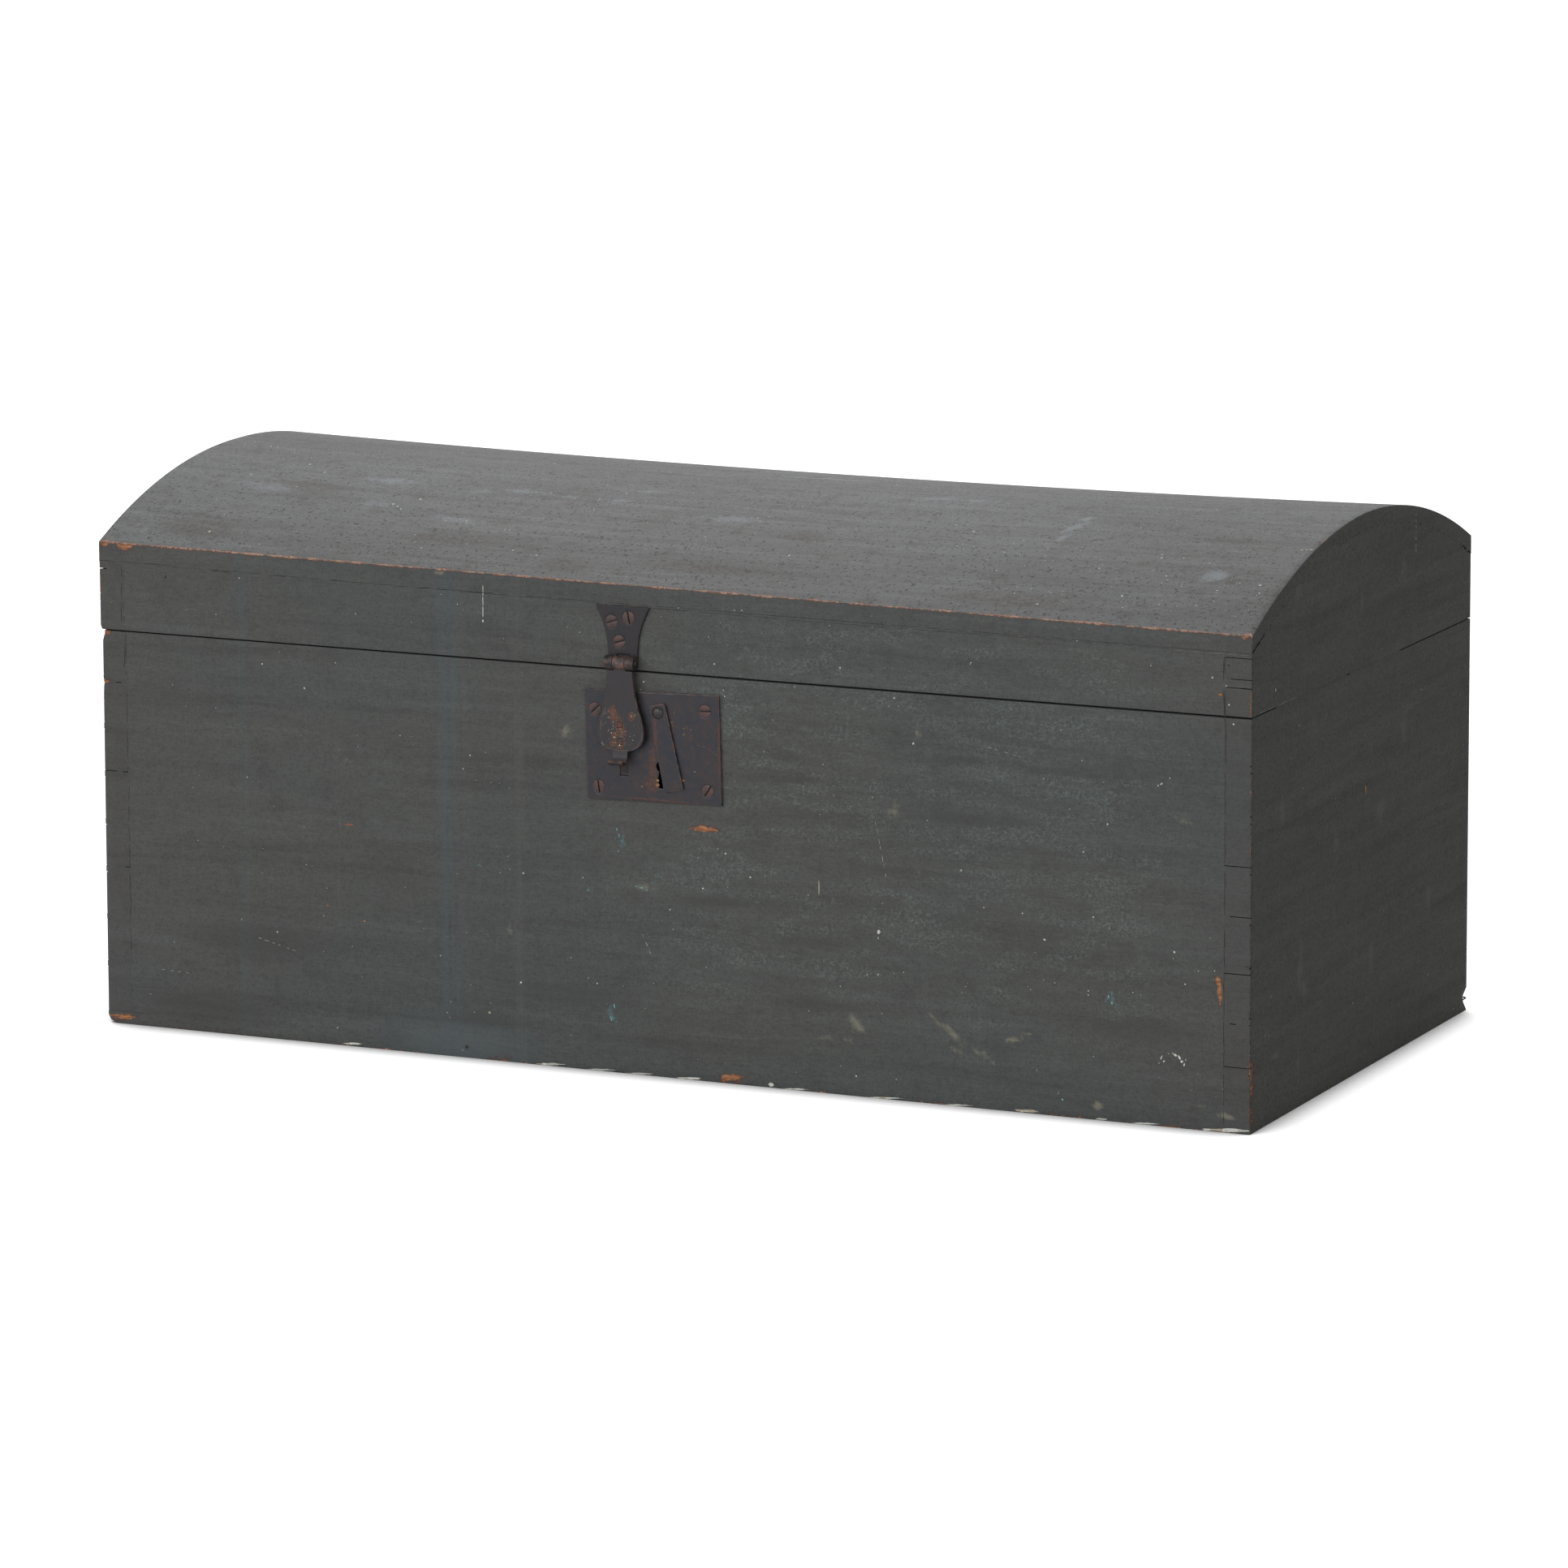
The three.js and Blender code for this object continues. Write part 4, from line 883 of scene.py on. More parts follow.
def dome_columns():
    """Where the sections stand along the board, and how far each is drawn in to round the ends."""
    count = round(2 * HALF_LENGTH / GRID)
    columns = [(-HALF_LENGTH + 2 * HALF_LENGTH * i / count, 0) for i in range(1, count)]
    soft = 0.5 * ARRIS_WIDTH
    return [
        (-HALF_LENGTH, soft), (-HALF_LENGTH + 0.3 * soft, 0.3 * soft), (-HALF_LENGTH + soft, 0), *columns,
        (HALF_LENGTH - soft, 0), (HALF_LENGTH - 0.3 * soft, 0.3 * soft), (HALF_LENGTH, soft),
    ]


def bent_board():
    section = dome_section()
    shape = bmesh.new()
    rings = []
    for x, pull in dome_columns():
        ring = []
        for y, z, kind in section:
            out = Vector((0, y, z - DOME_CENTRE)).normalized() * (pull if kind == DOME else 0)
            ring.append(shape.verts.new(Vector((x, y, z)) - out))
        rings.append(ring)
    for first, second in zip(rings, rings[1:]):
        for i, (_, _, kind) in enumerate(section):
            j = (i + 1) % len(section)
            face = shape.faces.new((first[i], first[j], second[j], second[i]))
            face.material_index = section[j][2] if kind == DOME else kind
    for ring in (rings[0], rings[-1]):
        shape.faces.new(ring).material_index = END
    bmesh.ops.recalc_face_normals(shape, faces=shape.faces)
    finish_board("worn_dome_board", shape, "dome_board")


# Paint that bridges the joints between boards: thin ribbons, broken where the photograph shows a line.
SEED = 4
draw = random.Random(SEED)
FILM_LIFT = 0.02 * MM
UPRIGHT_LIFT = 1.8
FILM_SINK = 0.05 * MM
FILM_HALF = 0.5 * MM
FILM_PIECE = 4 * MM
FILM_MARGIN = 0.9 * MM
FILM_LAP = 0.4 * MM
OPEN_PIXELS = (
    (1525, 837), (1525, 846), (1525, 1070), (1525, 1133), (1525, 1198), (1525, 1261), (1525, 1317),
    (143, 840), (143, 952), (143, 1066), (143, 1195),
)
OPEN = [Vector(front_place(u, v)) for u, v in OPEN_PIXELS]
OPEN_REACH = 9 * MM
OPEN_HEIGHT = 1.9 * MM


def add_strip(shape, places, out, across, lift, material_index):
    """One closed, thin strip of paint through places on an outer face."""
    rings = []
    for place in places:
        reach = [FILM_HALF * draw.uniform(0.75, 1.15) for _ in range(2)]
        corners = (
            place - reach[0] * across + lift * out, place + reach[1] * across + lift * out,
            place + reach[1] * across - FILM_SINK * out, place - reach[0] * across - FILM_SINK * out,
        )
        rings.append([shape.verts.new(corner) for corner in corners])
    made = [shape.faces.new(reversed(rings[0])), shape.faces.new(rings[-1])]
    for first, second in zip(rings, rings[1:]):
        for i in range(4):
            j = (i + 1) % 4
            made.append(shape.faces.new((first[i], first[j], second[j], second[i])))
    for face in made:
        face.material_index = material_index


def cover_line(shape, start, end, out, lift, material_index, share_at):
    """Strips along a line, with gaps where share_at leaves a place open."""
    way = (end - start).normalized()
    pieces = max(1, round((end - start).length / FILM_PIECE))
    step = (end - start) / pieces
    run = []
    for i in range(pieces + 1):
        place = start + i * step
        if i < pieces and draw.random() < share_at(place + step / 2):
            run.append(place)
        elif run:
            add_strip(shape, [*run, place], out, out.cross(way), lift, material_index)
            run = []


def stands_open(middle):
    """Whether a place on the front is at a joint that has opened."""
    place = Vector((middle.x, middle.z))
    return any(
        (place - other).length < OPEN_REACH and abs(place.y - other.y) < OPEN_HEIGHT for other in OPEN
    )


def covered(middle, region, upright):
    """What share of a joint the paint still bridges, by where it is."""
    if region != FRONT:
        return 0.97 if region == END and middle.x > 0 else 0.75
    if middle.z < 8 * MM:
        return 1 if middle.x > -330 * MM else 0.3
    if upright:
        return 0.15 if middle.x > 0 else 0.4
    if middle.z > ARRIS - 15 * MM:
        return 0.2 if middle.x > -150 * MM else 0.6
    return 0.25 if stands_open(middle) else 1


def on_dome(point):
    return abs(math.hypot(point.y, point.z - DOME_CENTRE) - DOME_RADIUS) < MM


def joints(members):
    """Each edge between boards that shows on an outer face, once, with that face's region and normal."""
    done = []
    for node in members:
        source = clean_copy(node)
        for edge in source.edges:
            regions = [region_of(face) for face in edge.link_faces]
            first, second = (vertex.co for vertex in edge.verts)
            middle = (first + second) / 2
            rim = near(middle.z, 0, SEAM, LID_FOOT) and near(first.z, second.z)
            if len(regions) != 2 or (regions[0] == INSIDE) == (regions[1] == INSIDE) or rim:
                continue
            if on_dome(first) or on_dome(second):
                continue
            if any((middle - other).length < 0.6 * MM for other in done):
                continue
            done.append(middle)
            region = min(regions)
            yield first, second, region, edge.link_faces[regions.index(region)].normal
        source.free()


def film_margin(point):
    """How far short of a joint's end its paint stops."""
    return FILM_MARGIN if outer_faces(point) >= 2 else -FILM_LAP


def film_joints(name, body, members):
    shape = bmesh.new()
    for first, second, region, out in joints(members):
        way = (second - first).normalized()
        upright = abs(way.z) > SQUARE
        start = first + film_margin(first) * way
        end = second - film_margin(second) * way
        lift = FILM_LIFT * (UPRIGHT_LIFT if upright else 1)
        cover_line(shape, start, end, out, lift, region, lambda place: covered(place, region, upright))
    finish_film(name, shape, body)


def finish_film(name, shape, body):
    bmesh.ops.recalc_face_normals(shape, faces=shape.faces)
    mesh = mesh_of(name, shape)
    add_marks(mesh)
    settle(mesh)
    add_piece(name, mesh, WOODS, "painted_wood", body)


def end_seam_lip():
    """Paint that hangs from the lid over part of the seam on the right end."""
    shape = bmesh.new()
    height = LID_FOOT - 0.15 * MM
    start = Vector((HALF_LENGTH, -136 * MM, height))
    end = Vector((HALF_LENGTH, 56 * MM, height))
    cover_line(shape, start, end, Vector((1, 0, 0)), FILM_LIFT, END, lambda place: 0.93)
    finish_film("end_seam_lip", shape, "lid")


CASE_BOARDS = ("front_board", "back_board", "left_end_board", "right_end_board", "bottom_board")
LID_BOARDS = ("lid_front_rail", "lid_back_rail", "lid_left_end", "lid_right_end")
for board in CASE_BOARDS + LID_BOARDS:
    make_board(board)
bent_board()
film_joints("case_joint_paint", "case", CASE_BOARDS)
film_joints("lid_joint_paint", "lid", (*LID_BOARDS, "dome_board"))
end_seam_lip()

# Spatters, drips and scratches of paint: low, ragged-edged blots that lie on the paint.
BLOT_SINK = 0.06 * MM
BLOT_LIFT = 0.04 * MM
BLOT_TOP = 0.8  # how far a blot's top reaches, as a share of its foot
RAGGED = 0.25
CORNERS_PER_MM = 8
FEWEST_CORNERS = 8
MOST_CORNERS = 36


def add_blot(shape, point_of, a, b, across, down, tilt, ragged):
    """One blot, with half sizes in millimetres, closed below the surface it lies on."""
    count = max(FEWEST_CORNERS, min(MOST_CORNERS, round(CORNERS_PER_MM * max(across, down))))
    turn = math.radians(tilt)
    rims = ([], [])
    wobble = [1 + ragged * draw.uniform(-1, 1) for _ in range(count)]
    for i in range(count):
        angle = 2 * math.pi * i / count
        reach = 0.6 * wobble[i] + 0.2 * (wobble[i - 1] + wobble[(i + 1) % count])
        da = across * MM * math.cos(angle) * reach
        db = down * MM * math.sin(angle) * reach
        first = da * math.cos(turn) - db * math.sin(turn)
        second = da * math.sin(turn) + db * math.cos(turn)
        low = point_of(a + first, b + second, -BLOT_SINK)
        high = point_of(a + BLOT_TOP * first, b + BLOT_TOP * second, BLOT_LIFT)
        for rim, point in zip(rims, (low, high)):
            point.x = max(min(point.x, HALF_LENGTH + BLOT_LIFT), -HALF_LENGTH)
            rim.append(shape.verts.new(point))
    for i in range(count):
        j = (i + 1) % count
        shape.faces.new((rims[0][i], rims[0][j], rims[1][j], rims[1][i]))
    shape.faces.new(rims[1])
    shape.faces.new(reversed(rims[0]))


def make_spatter(name, tones):
    """Dried spatters, whose tone changes from spot to spot."""
    n = material_net(name)
    place = n.attribute("rest", "Vector")
    pick = n.noise(place, 90, 2)
    grit = n.noise(place, 2500, 3, 0.7)
    first, second, third = (rgb(*tone) for tone in tones)
    colour = n.lay(first, second, pick, 0.42, 0.5)
    colour = n.lay(colour, third, pick, 0.56, 0.62)
    colour = n.brighten(colour, n.shift(grit, 0.5))
    return n.finish(colour, 0.7, n.bump(grit, 0.05 * MM, 0.5), 0, 0.3)


SPATTERS = {
    "white_spatter": ((176, 178, 170), (206, 208, 200), (168, 160, 140)),
    "teal_spatter": ((104, 150, 150), (128, 176, 176), (92, 120, 124)),
    "orange_spatter": ((142, 84, 52), (176, 116, 70), (150, 118, 78)),
    "ochre_spatter": ((112, 92, 66), (134, 110, 78), (104, 82, 64)),
    "speck_spatter": ((150, 142, 120), (196, 190, 172), (164, 134, 84)),
    "joint_dirt": ((31, 30, 29), (37, 35, 33), (28, 27, 27)),
    "pale_highlight": ((100, 97, 92), (116, 108, 102), (92, 88, 82)),
    "raised_rim_highlight": ((96, 84, 79), (108, 92, 84), (84, 74, 72)),
}
spatters = {name: make_spatter(name, tones) for name, tones in SPATTERS.items()}


def make_blots(name, body, spatter, rows, slot="painted_wood"):
    """Blots as one piece. Each row is a face, a place on it, half sizes, a turn, and how ragged it is."""
    shape = bmesh.new()
    for face, *row in rows:
        add_blot(shape, FACES[face][0], *row)
    bmesh.ops.recalc_face_normals(shape, faces=shape.faces)
    mesh = mesh_of(name, shape)
    add_rest(mesh)
    settle(mesh)
    add_piece(name, mesh, [spatters[spatter]], slot, body)


def scattered(face, count, box, size, crowd):
    """Random specks in a box of a face's own coordinates, thicker where crowd's noise is high."""
    rows = []
    a0, a1, b0, b1 = (v * MM for v in box)
    while len(rows) < count:
        a = draw.uniform(a0, a1)
        b = draw.uniform(b0, b1)
        if noise.noise(Vector((a, b, 0.3)) / crowd) < draw.uniform(-0.5, 0.6):
            continue
        radius = size * math.exp(draw.gauss(0, 0.45))
        rows.append((face, a, b, radius, radius * draw.uniform(0.7, 1.1), draw.uniform(0, 180), RAGGED))
    return rows


def placed(face, rows, ragged=RAGGED):
    """Rows given by pixel, as the marks on the paint are."""
    return [(face, *FACES[face][1](u, v), across, down, tilt, ragged) for u, v, across, down, tilt in rows]


def scratch(face, u0, v0, u1, v1, width, pieces, cover):
    """A broken line between two pixels, as long thin blots."""
    place_of = FACES[face][1]
    start = Vector(place_of(u0, v0))
    end = Vector(place_of(u1, v1))
    way = end - start
    tilt = math.degrees(math.atan2(way.y, way.x))
    rows = []
    for i in range(pieces):
        middle = start + way * (i + 0.5 + draw.uniform(-0.2, 0.2)) / pieces
        half = way.length / pieces / 2 / MM * cover * draw.uniform(0.6, 1.3)
        rows.append((face, *middle, half, width * draw.uniform(0.6, 1.2), tilt + draw.uniform(-3, 3), 0.3))
    return rows


def scratches(face, lines, cover=0.7):
    """Lines given by the pixels of their ends, half their width and the number of their pieces."""
    rows = []
    for line in lines:
        rows += scratch(face, *line, cover)
    return rows


def trail(face, pixels, width):
    """An unbroken line through pixels."""
    return scratches(face, [(*first, *second, width, 1) for first, second in zip(pixels, pixels[1:])], 1.15)


def resting(rows):
    """Rows moved up until none of them reaches below the floor."""
    return [
        (face, a, max(b, 1.2 * down * MM), across, down, *others)
        for face, a, b, across, down, *others in rows
    ]


def on_lid(rows):
    return [row for row in rows if row[2] > LID_FOOT]


def on_case(rows):
    return [row for row in rows if row[2] < SEAM]


WHITE_FRONT = [
    (595, 728, 0.26, 3, 0), (595, 741, 0.3, 3, 0), (595, 754, 0.34, 3.6, 0), (595, 765, 0.6, 0.8, 0),
    (1009, 1094, 0.34, 4.5, 0), (1431, 1303, 0.5, 1.6, -25), (1434, 1308, 0.4, 1.0, -40),
    (1448, 1300, 1.2, 0.7, -20), (1453, 1303, 0.7, 1.5, 30), (1456, 1308, 0.9, 1.0, -35),
    (1445, 1298, 0.6, 0.5, 0), (1459, 1312, 0.4, 1.0, -20), (1461, 1306, 0.3, 0.8, 10),
    (1440, 1298, 0.4, 0.3, 0), (1428, 1310, 0.3, 0.5, 0), (1431, 966, 0.9, 0.5, 30),
    (1427, 968, 0.4, 0.4, 0), (880, 818, 0.5, 0.5, 0), (793, 840, 0.5, 0.5, 0), (714, 779, 0.4, 0.4, 0),
    (914, 752, 0.4, 0.4, 0), (1341, 1221, 0.6, 0.3, 0), (1341, 1226, 0.5, 0.3, 0),
    (1347, 1130, 0.6, 0.5, 0),
]
WHITE_DOME = [
    (1541, 782, 0.7, 0.7, 0), (485, 621, 0.8, 1.0, 0), (490, 624, 0.6, 0.8, 0), (382, 572, 0.8, 1.0, 0),
    (518, 615, 1.0, 1.2, 0), (258, 655, 0.9, 1.2, 30), (494, 627, 0.5, 0.7, 0), (772, 608, 0.7, 0.8, 0),
    (739, 615, 0.6, 0.7, 0), (661, 684, 0.6, 0.7, 0), (622, 653, 0.4, 0.6, 0), (628, 653, 0.4, 0.6, 0),
    (632, 678, 0.5, 0.6, 0), (575, 642, 0.5, 0.6, 0), (732, 628, 0.6, 0.6, 0),
]
TEAL_DOTS = [
    (161, 1255, 0.6, 0.6, 0), (1309, 1355, 0.7, 0.7, 0), (757, 1240, 0.4, 1.6, 10),
    (753, 1255, 0.5, 1.6, 15), (760, 1022, 0.3, 0.9, 10), (763, 1030, 0.4, 1.3, 15),
    (766, 1036, 0.5, 1.0, 0), (765, 1043, 0.35, 0.9, -10), (758, 1033, 0.3, 0.6, 0),
    (769, 1030, 0.3, 0.5, 0), (762, 1049, 0.25, 0.6, 0), (771, 1041, 0.3, 0.3, 0),
    (784, 1092, 0.9, 0.4, 5), (790, 1094, 1.2, 0.5, 5), (797, 1097, 0.6, 0.3, 10),
    (1366, 1228, 0.4, 1.0, 10), (1370, 1236, 0.5, 0.8, 0), (1362, 1234, 0.3, 0.5, 0),
]
ORANGE_DOTS = [(404, 1116, 0.7, 0.5, 0), (449, 1135, 0.7, 0.5, 0), (430, 1016, 3.4, 0.5, 0)]
PEELED_DOTS = [(1083, 1148, 1.1, 1.4, 0), (1082, 1156, 0.3, 0.8, 0)]
CREAM_EDGE = [
    (434, 1286, 8, 0.6, 3.5), (678, 1311, 9, 0.7, 3.5), (740, 1318, 9, 0.5, 3.5), (790, 1323, 9, 0.5, 3.5),
    (850, 1329, 9, 0.6, 3.5), (950, 1338, 2, 1.2, 3.5), (1264, 1371, 8, 0.9, 3.5),
    (1357, 1380, 4, 0.6, 3.5), (1513, 1394, 14, 1.1, 3.5), (1090, 1354, 12, 0.45, 3.5),
    (1180, 1363, 10, 0.45, 3.5), (1410, 1385, 8, 0.5, 3.5), (980, 1343, 8, 0.45, 3.5),
]
FRONT_SCRATCHES = [
    (315, 1154, 368, 1173, 0.12, 6), (198, 1194, 234, 1199, 0.12, 4), (1215, 920, 1262, 934, 0.1, 5),
    (1078, 1010, 1092, 1082, 0.1, 7), (790, 1147, 802, 1176, 0.12, 3), (840, 960, 900, 972, 0.08, 3),
]
SEAM_TOP = SEAM / MM - 1

placed_front = placed("front", WHITE_FRONT)
make_blots(
    "front_spatters", "case", "white_spatter",
    on_case(placed_front) + resting(placed("front", CREAM_EDGE, 0.4))
    + scattered("front", 220, (-330, 350, 4, SEAM_TOP), 0.26, 0.05)
    + scratches("front", FRONT_SCRATCHES) + placed("front", PEELED_DOTS, 0.35),
)
make_blots(
    "lid_front_spatters", "lid", "white_spatter",
    on_lid(placed_front) + scattered("front", 46, (-350, 350, 233, 276), 0.26, 0.05),
)
make_blots(
    "dome_spatters", "lid", "white_spatter",
    placed("dome", WHITE_DOME) + scattered("dome", 700, (-350, 350, -172, 100), 0.22, 0.06)
    + scattered("dome", 130, (180, 345, -165, -90), 0.27, 0.03)
    + scratches("dome", [(1599, 678, 1620, 677, 0.7, 3)]),
)
make_blots(
    "end_spatters", "case", "white_spatter",
    scattered("end", 30, (-168, 168, 4, SEAM_TOP), 0.24, 0.05) + placed("end", [(1601, 894, 0.5, 0.8, 0)]),
)
make_blots(
    "lid_end_spatters", "lid", "white_spatter",
    scratches("end", [(1745, 632, 1745, 683, 0.14, 7)]) + placed("end", [(1572, 850, 0.6, 1.2, 0)]),
)
make_blots("teal_spatters", "case", "teal_spatter", placed("front", TEAL_DOTS))
make_blots(
    "orange_spatters", "case", "orange_spatter",
    placed("front", ORANGE_DOTS, 0.4)
    + placed("plate", [(842, 962, 0.8, 0.7, 0), (791, 969, 0.7, 0.5, 0)], 0.4)
    + placed("end", [(1683, 973, 1.0, 2.4, 0)], 0.4),
)

# The joints that show, as dark lines, with dots where a corner gapes, and pale lines by them that are
# painted highlights on the edges beside the joints.
DARK_LINES = [
    (149.5, 697, 149.5, 736, 0.24, 2), (149.5, 741, 149.5, 772, 0.34, 1), (1508, 811, 1508, 836, 0.38, 1),
    (1508.5, 847, 1508.5, 884, 0.46, 1), (1510, 847, 1540, 850, 0.16, 2), (122, 690, 200, 696, 0.2, 3),
    (200, 697, 560, 728, 0.16, 14), (560, 728, 1000, 766, 0.17, 12), (1000, 766, 1505, 804, 0.14, 20),
    (154, 787, 154, 836, 0.32, 1), (156, 846, 158, 940, 0.16, 4), (1511, 891, 1510, 1125, 0.15, 8),
    (1509, 1137, 1508.5, 1196, 0.26, 2), (1508, 1206, 1507.5, 1385, 0.18, 6),
    (159, 960, 163, 1230, 0.12, 9),
]
DARK_DOTS = [
    (1514, 820, 0.8, 0.8, 0), (204, 711, 0.9, 0.9, 0), (575, 1290, 1.2, 1.2, 0), (472, 830, 0.4, 0.4, 0),
]
HIGHLIGHT_LINES = [(1509, 806, 1541, 808, 0.3, 2), (1440, 800, 1505, 805, 0.16, 3)]
DOME_DENTS = [
    (591, 623, 0.9, 0.9, 0), (606, 631, 0.8, 0.8, 0), (677, 632, 1.0, 0.9, 0), (639, 657, 0.7, 0.7, 0),
    (342, 609, 0.8, 0.8, 0), (425, 630, 0.9, 0.7, 0), (236, 570, 0.8, 0.8, 0), (570, 665, 1.4, 0.4, 0),
    (1541, 753, 3.0, 0.25, 0), (1541, 743, 3.0, 0.2, 0), (652, 662, 2.2, 0.3, 0),
]
joint_lines = scratches("front", DARK_LINES, 1.05) + placed("front", DARK_DOTS)
make_blots("case_joint_dirt", "case", "joint_dirt", on_case(joint_lines))
make_blots(
    "lid_joint_dirt", "lid", "joint_dirt", on_lid(joint_lines) + placed("end", [(1553, 877, 0.7, 0.8, 0)]),
)
make_blots(
    "dome_dents", "lid", "joint_dirt",
    placed("dome", DOME_DENTS) + scattered("dome", 36, (-340, 340, -165, 60), 0.3, 0.08),
)
# Painted highlights on the edges beside the joints of the lid's front and right end.
make_blots(
    "lid_pale_ridges", "lid", "pale_highlight",
    scratches("front", HIGHLIGHT_LINES, 1.05) + scratches("end", [(1547, 881, 1600, 858, 0.22, 4)], 0.95),
)

# Marks on the lock's plate and the strap, painted highlights along the plate's top edge and the strap's
# raised rim, and a dark line on the plate by the strap's foot that is painted shade under its edge, and
# grime.
PLATE_SCRATCHES = [(858, 918, 872, 922, 0.12, 3), (872, 922, 885, 932, 0.12, 3)]
PLATE_RUST = [(810.2, 961.8, 1.0, 0.9, 10), (810.4, 967.2, 1.2, 1.0, 20)]
PLATE_SPECKS = [(856, 951, 0.35, 0.35, 0), (826, 964, 0.3, 0.3, 0), (826, 939, 0.25, 0.25, 0)]
RIM = [
    (746, 872), (741, 886), (739.5, 900), (741, 913), (746.5, 920.5), (754, 923), (765, 925), (777, 924.5),
    (785, 920.5), (790.5, 910), (792, 899), (789.5, 886), (785.5, 875), (783.5, 864),
]
STRAP_SHADE_AND_GRIME = [(744, 862), (740, 876), (736.5, 889), (736, 901), (738, 914), (743.5, 923), (752, 926.5)]
make_blots(
    "plate_rust_scratches", "case", "ochre_spatter",
    scattered("plate", 9, (15.5, 18.5, 194, 203), 0.3, 0.004)
    + scattered("plate", 9, (18.5, 21.5, 190, 201), 0.3, 0.004) + scratches("plate", PLATE_SCRATCHES, 1)
    + scattered("plate", 8, (8.5, 11, 198, 213), 0.25, 0.004) + placed("plate", PLATE_RUST),
    "black_iron",
)
make_blots("plate_specks", "case", "speck_spatter", placed("plate", PLATE_SPECKS), "black_iron")
# A painted highlight along the top edge of the lock's plate.
make_blots(
    "plate_edge_highlight", "case", "pale_highlight",
    scratches("plate", [(788, 853.6, 886, 857.6, 0.16, 4)], 1.05), "black_iron",
)
make_blots(
    "strap_specks", "hasp", "speck_spatter",
    scattered("strap", 60, (-33, -12, 187, 209), 0.16, 0.012)
    + scattered("strap", 24, (-29, -19, 190, 200), 0.24, 0.006),
    "black_iron",
)
# A painted highlight along the strap's embossed rim.
make_blots("strap_rim_highlight", "hasp", "raised_rim_highlight", trail("strap", RIM, 0.2), "black_iron")
# A dark line on the plate along the strap's outline: painted shade under the strap's edge, and grime.
make_blots("plate_strap_shade_and_grime", "case", "joint_dirt", trail("plate", STRAP_SHADE_AND_GRIME, 0.16), "black_iron")

# Ironwork.
IRON_TONES = ((51, 48, 51), (43, 46, 53), (66, 53, 50))
STRAP_TONES = ((50, 47, 49), (47, 47, 51), (62, 52, 49))
LEAF_TONES = ((41, 38, 40), (38, 38, 42), (52, 44, 41))
SCREW_TONES = ((74, 58, 56), (66, 54, 54), (86, 66, 60))
RIVET_TONES = ((56, 53, 54), (51, 51, 54), (60, 52, 48))
# The tones of the box of painted shade in the staple's slot.
SLOT_SHADE_TONES = ((38, 36, 38), (36, 36, 39), (44, 39, 38))
RUST = (120, 85, 66)
RUST_DARK = rgb(84, 62, 56)
IRON_PALE = (116, 108, 102)
# The colour of painted shade in the screws' slots.
SCREW_SLOT_SHADE = rgb(30, 26, 26)


def iron(name, tones, rust, film_share, pale, edge=IRON_PALE, rusty=RUST, polish=0):
    """Blackened sheet iron with a brown film, rust and worn edges."""
    n = material_net(name)
    place = n.attribute("rest", "Vector")
    clouds = n.noise(place, 90, 5, 0.6)
    film = n.noise(place, 260, 5, 0.65)
    grit = n.noise(place, 1300, 4, 0.7)
    first, second, brown = (rgb(*tone) for tone in tones)
    colour = n.lay(first, second, clouds, 0.36, 0.66)
    colour = n.lay(colour, brown, film, 0.46, 0.7, film_share)
    spread = n.sum(n.times(film, 0.6), n.times(grit, 0.4))
    bloom = n.times(n.ease(spread, 0.62 - 0.12 * rust, 0.74 - 0.1 * rust), rust)
    ragged = n.noise(place, 620, 5, 0.75)
    patch = n.ease(n.sum(n.attribute("rust"), n.shift(film, 2.0), n.shift(ragged, 2.6)), 1.2, 0.45)
    bloom = n.math("MAXIMUM", bloom, patch)
    rust_tone = n.lay(RUST_DARK, rgb(*rusty), grit, 0.42, 0.6)
    colour = n.blend(n.times(bloom, 0.8), colour, rust_tone)
    colour = n.brighten(colour, n.shift(grit, 0.45))
    worn = n.times(n.attribute("edge"), n.ease(film, 0.35, 0.6), pale)
    colour = n.blend(worn, colour, rgb(*edge))
    # Painted shade in the screws' slots and round their heads: the deeper a point lies behind the top of a
    # screw, the darker.
    colour = n.lay(colour, SCREW_SLOT_SHADE, n.attribute("depth"), 0.1 * MM, 0.45 * MM)
    rough = n.sum(0.46 - 0.2 * polish, n.times(bloom, 0.3), n.shift(film, 0.3))
    height = n.sum(n.times(film, 0.5), n.times(grit, 0.3), n.times(bloom, 0.4))
    metal = n.less(0.3 + 0.5 * polish, n.times(bloom, 0.25))
    return n.finish(colour, rough, n.bump(height, 0.14 * MM, 0.6), metal, 0.25)


plate_iron = iron("plate_iron", IRON_TONES, 0.3, 0.7, 0.8, (124, 98, 90), (98, 72, 64))
rivet_iron = iron("rivet_iron", RIVET_TONES, 0.1, 0.4, 0.6, polish=0.8)
strap_iron = iron("strap_iron", STRAP_TONES, 0.3, 0.6, 0.8, (104, 82, 74))
leaf_iron = iron("leaf_iron", LEAF_TONES, 0.2, 0.6, 0.7, (88, 70, 62))
screw_iron = iron("screw_iron", SCREW_TONES, 0.2, 0.8, 0.5, (112, 88, 80))
bare_iron = iron("bare_iron", IRON_TONES, 0.2, 0.4, 0.6)
slot_shade_iron = iron("slot_shade_iron", SLOT_SHADE_TONES, 0.1, 0.4, 0)

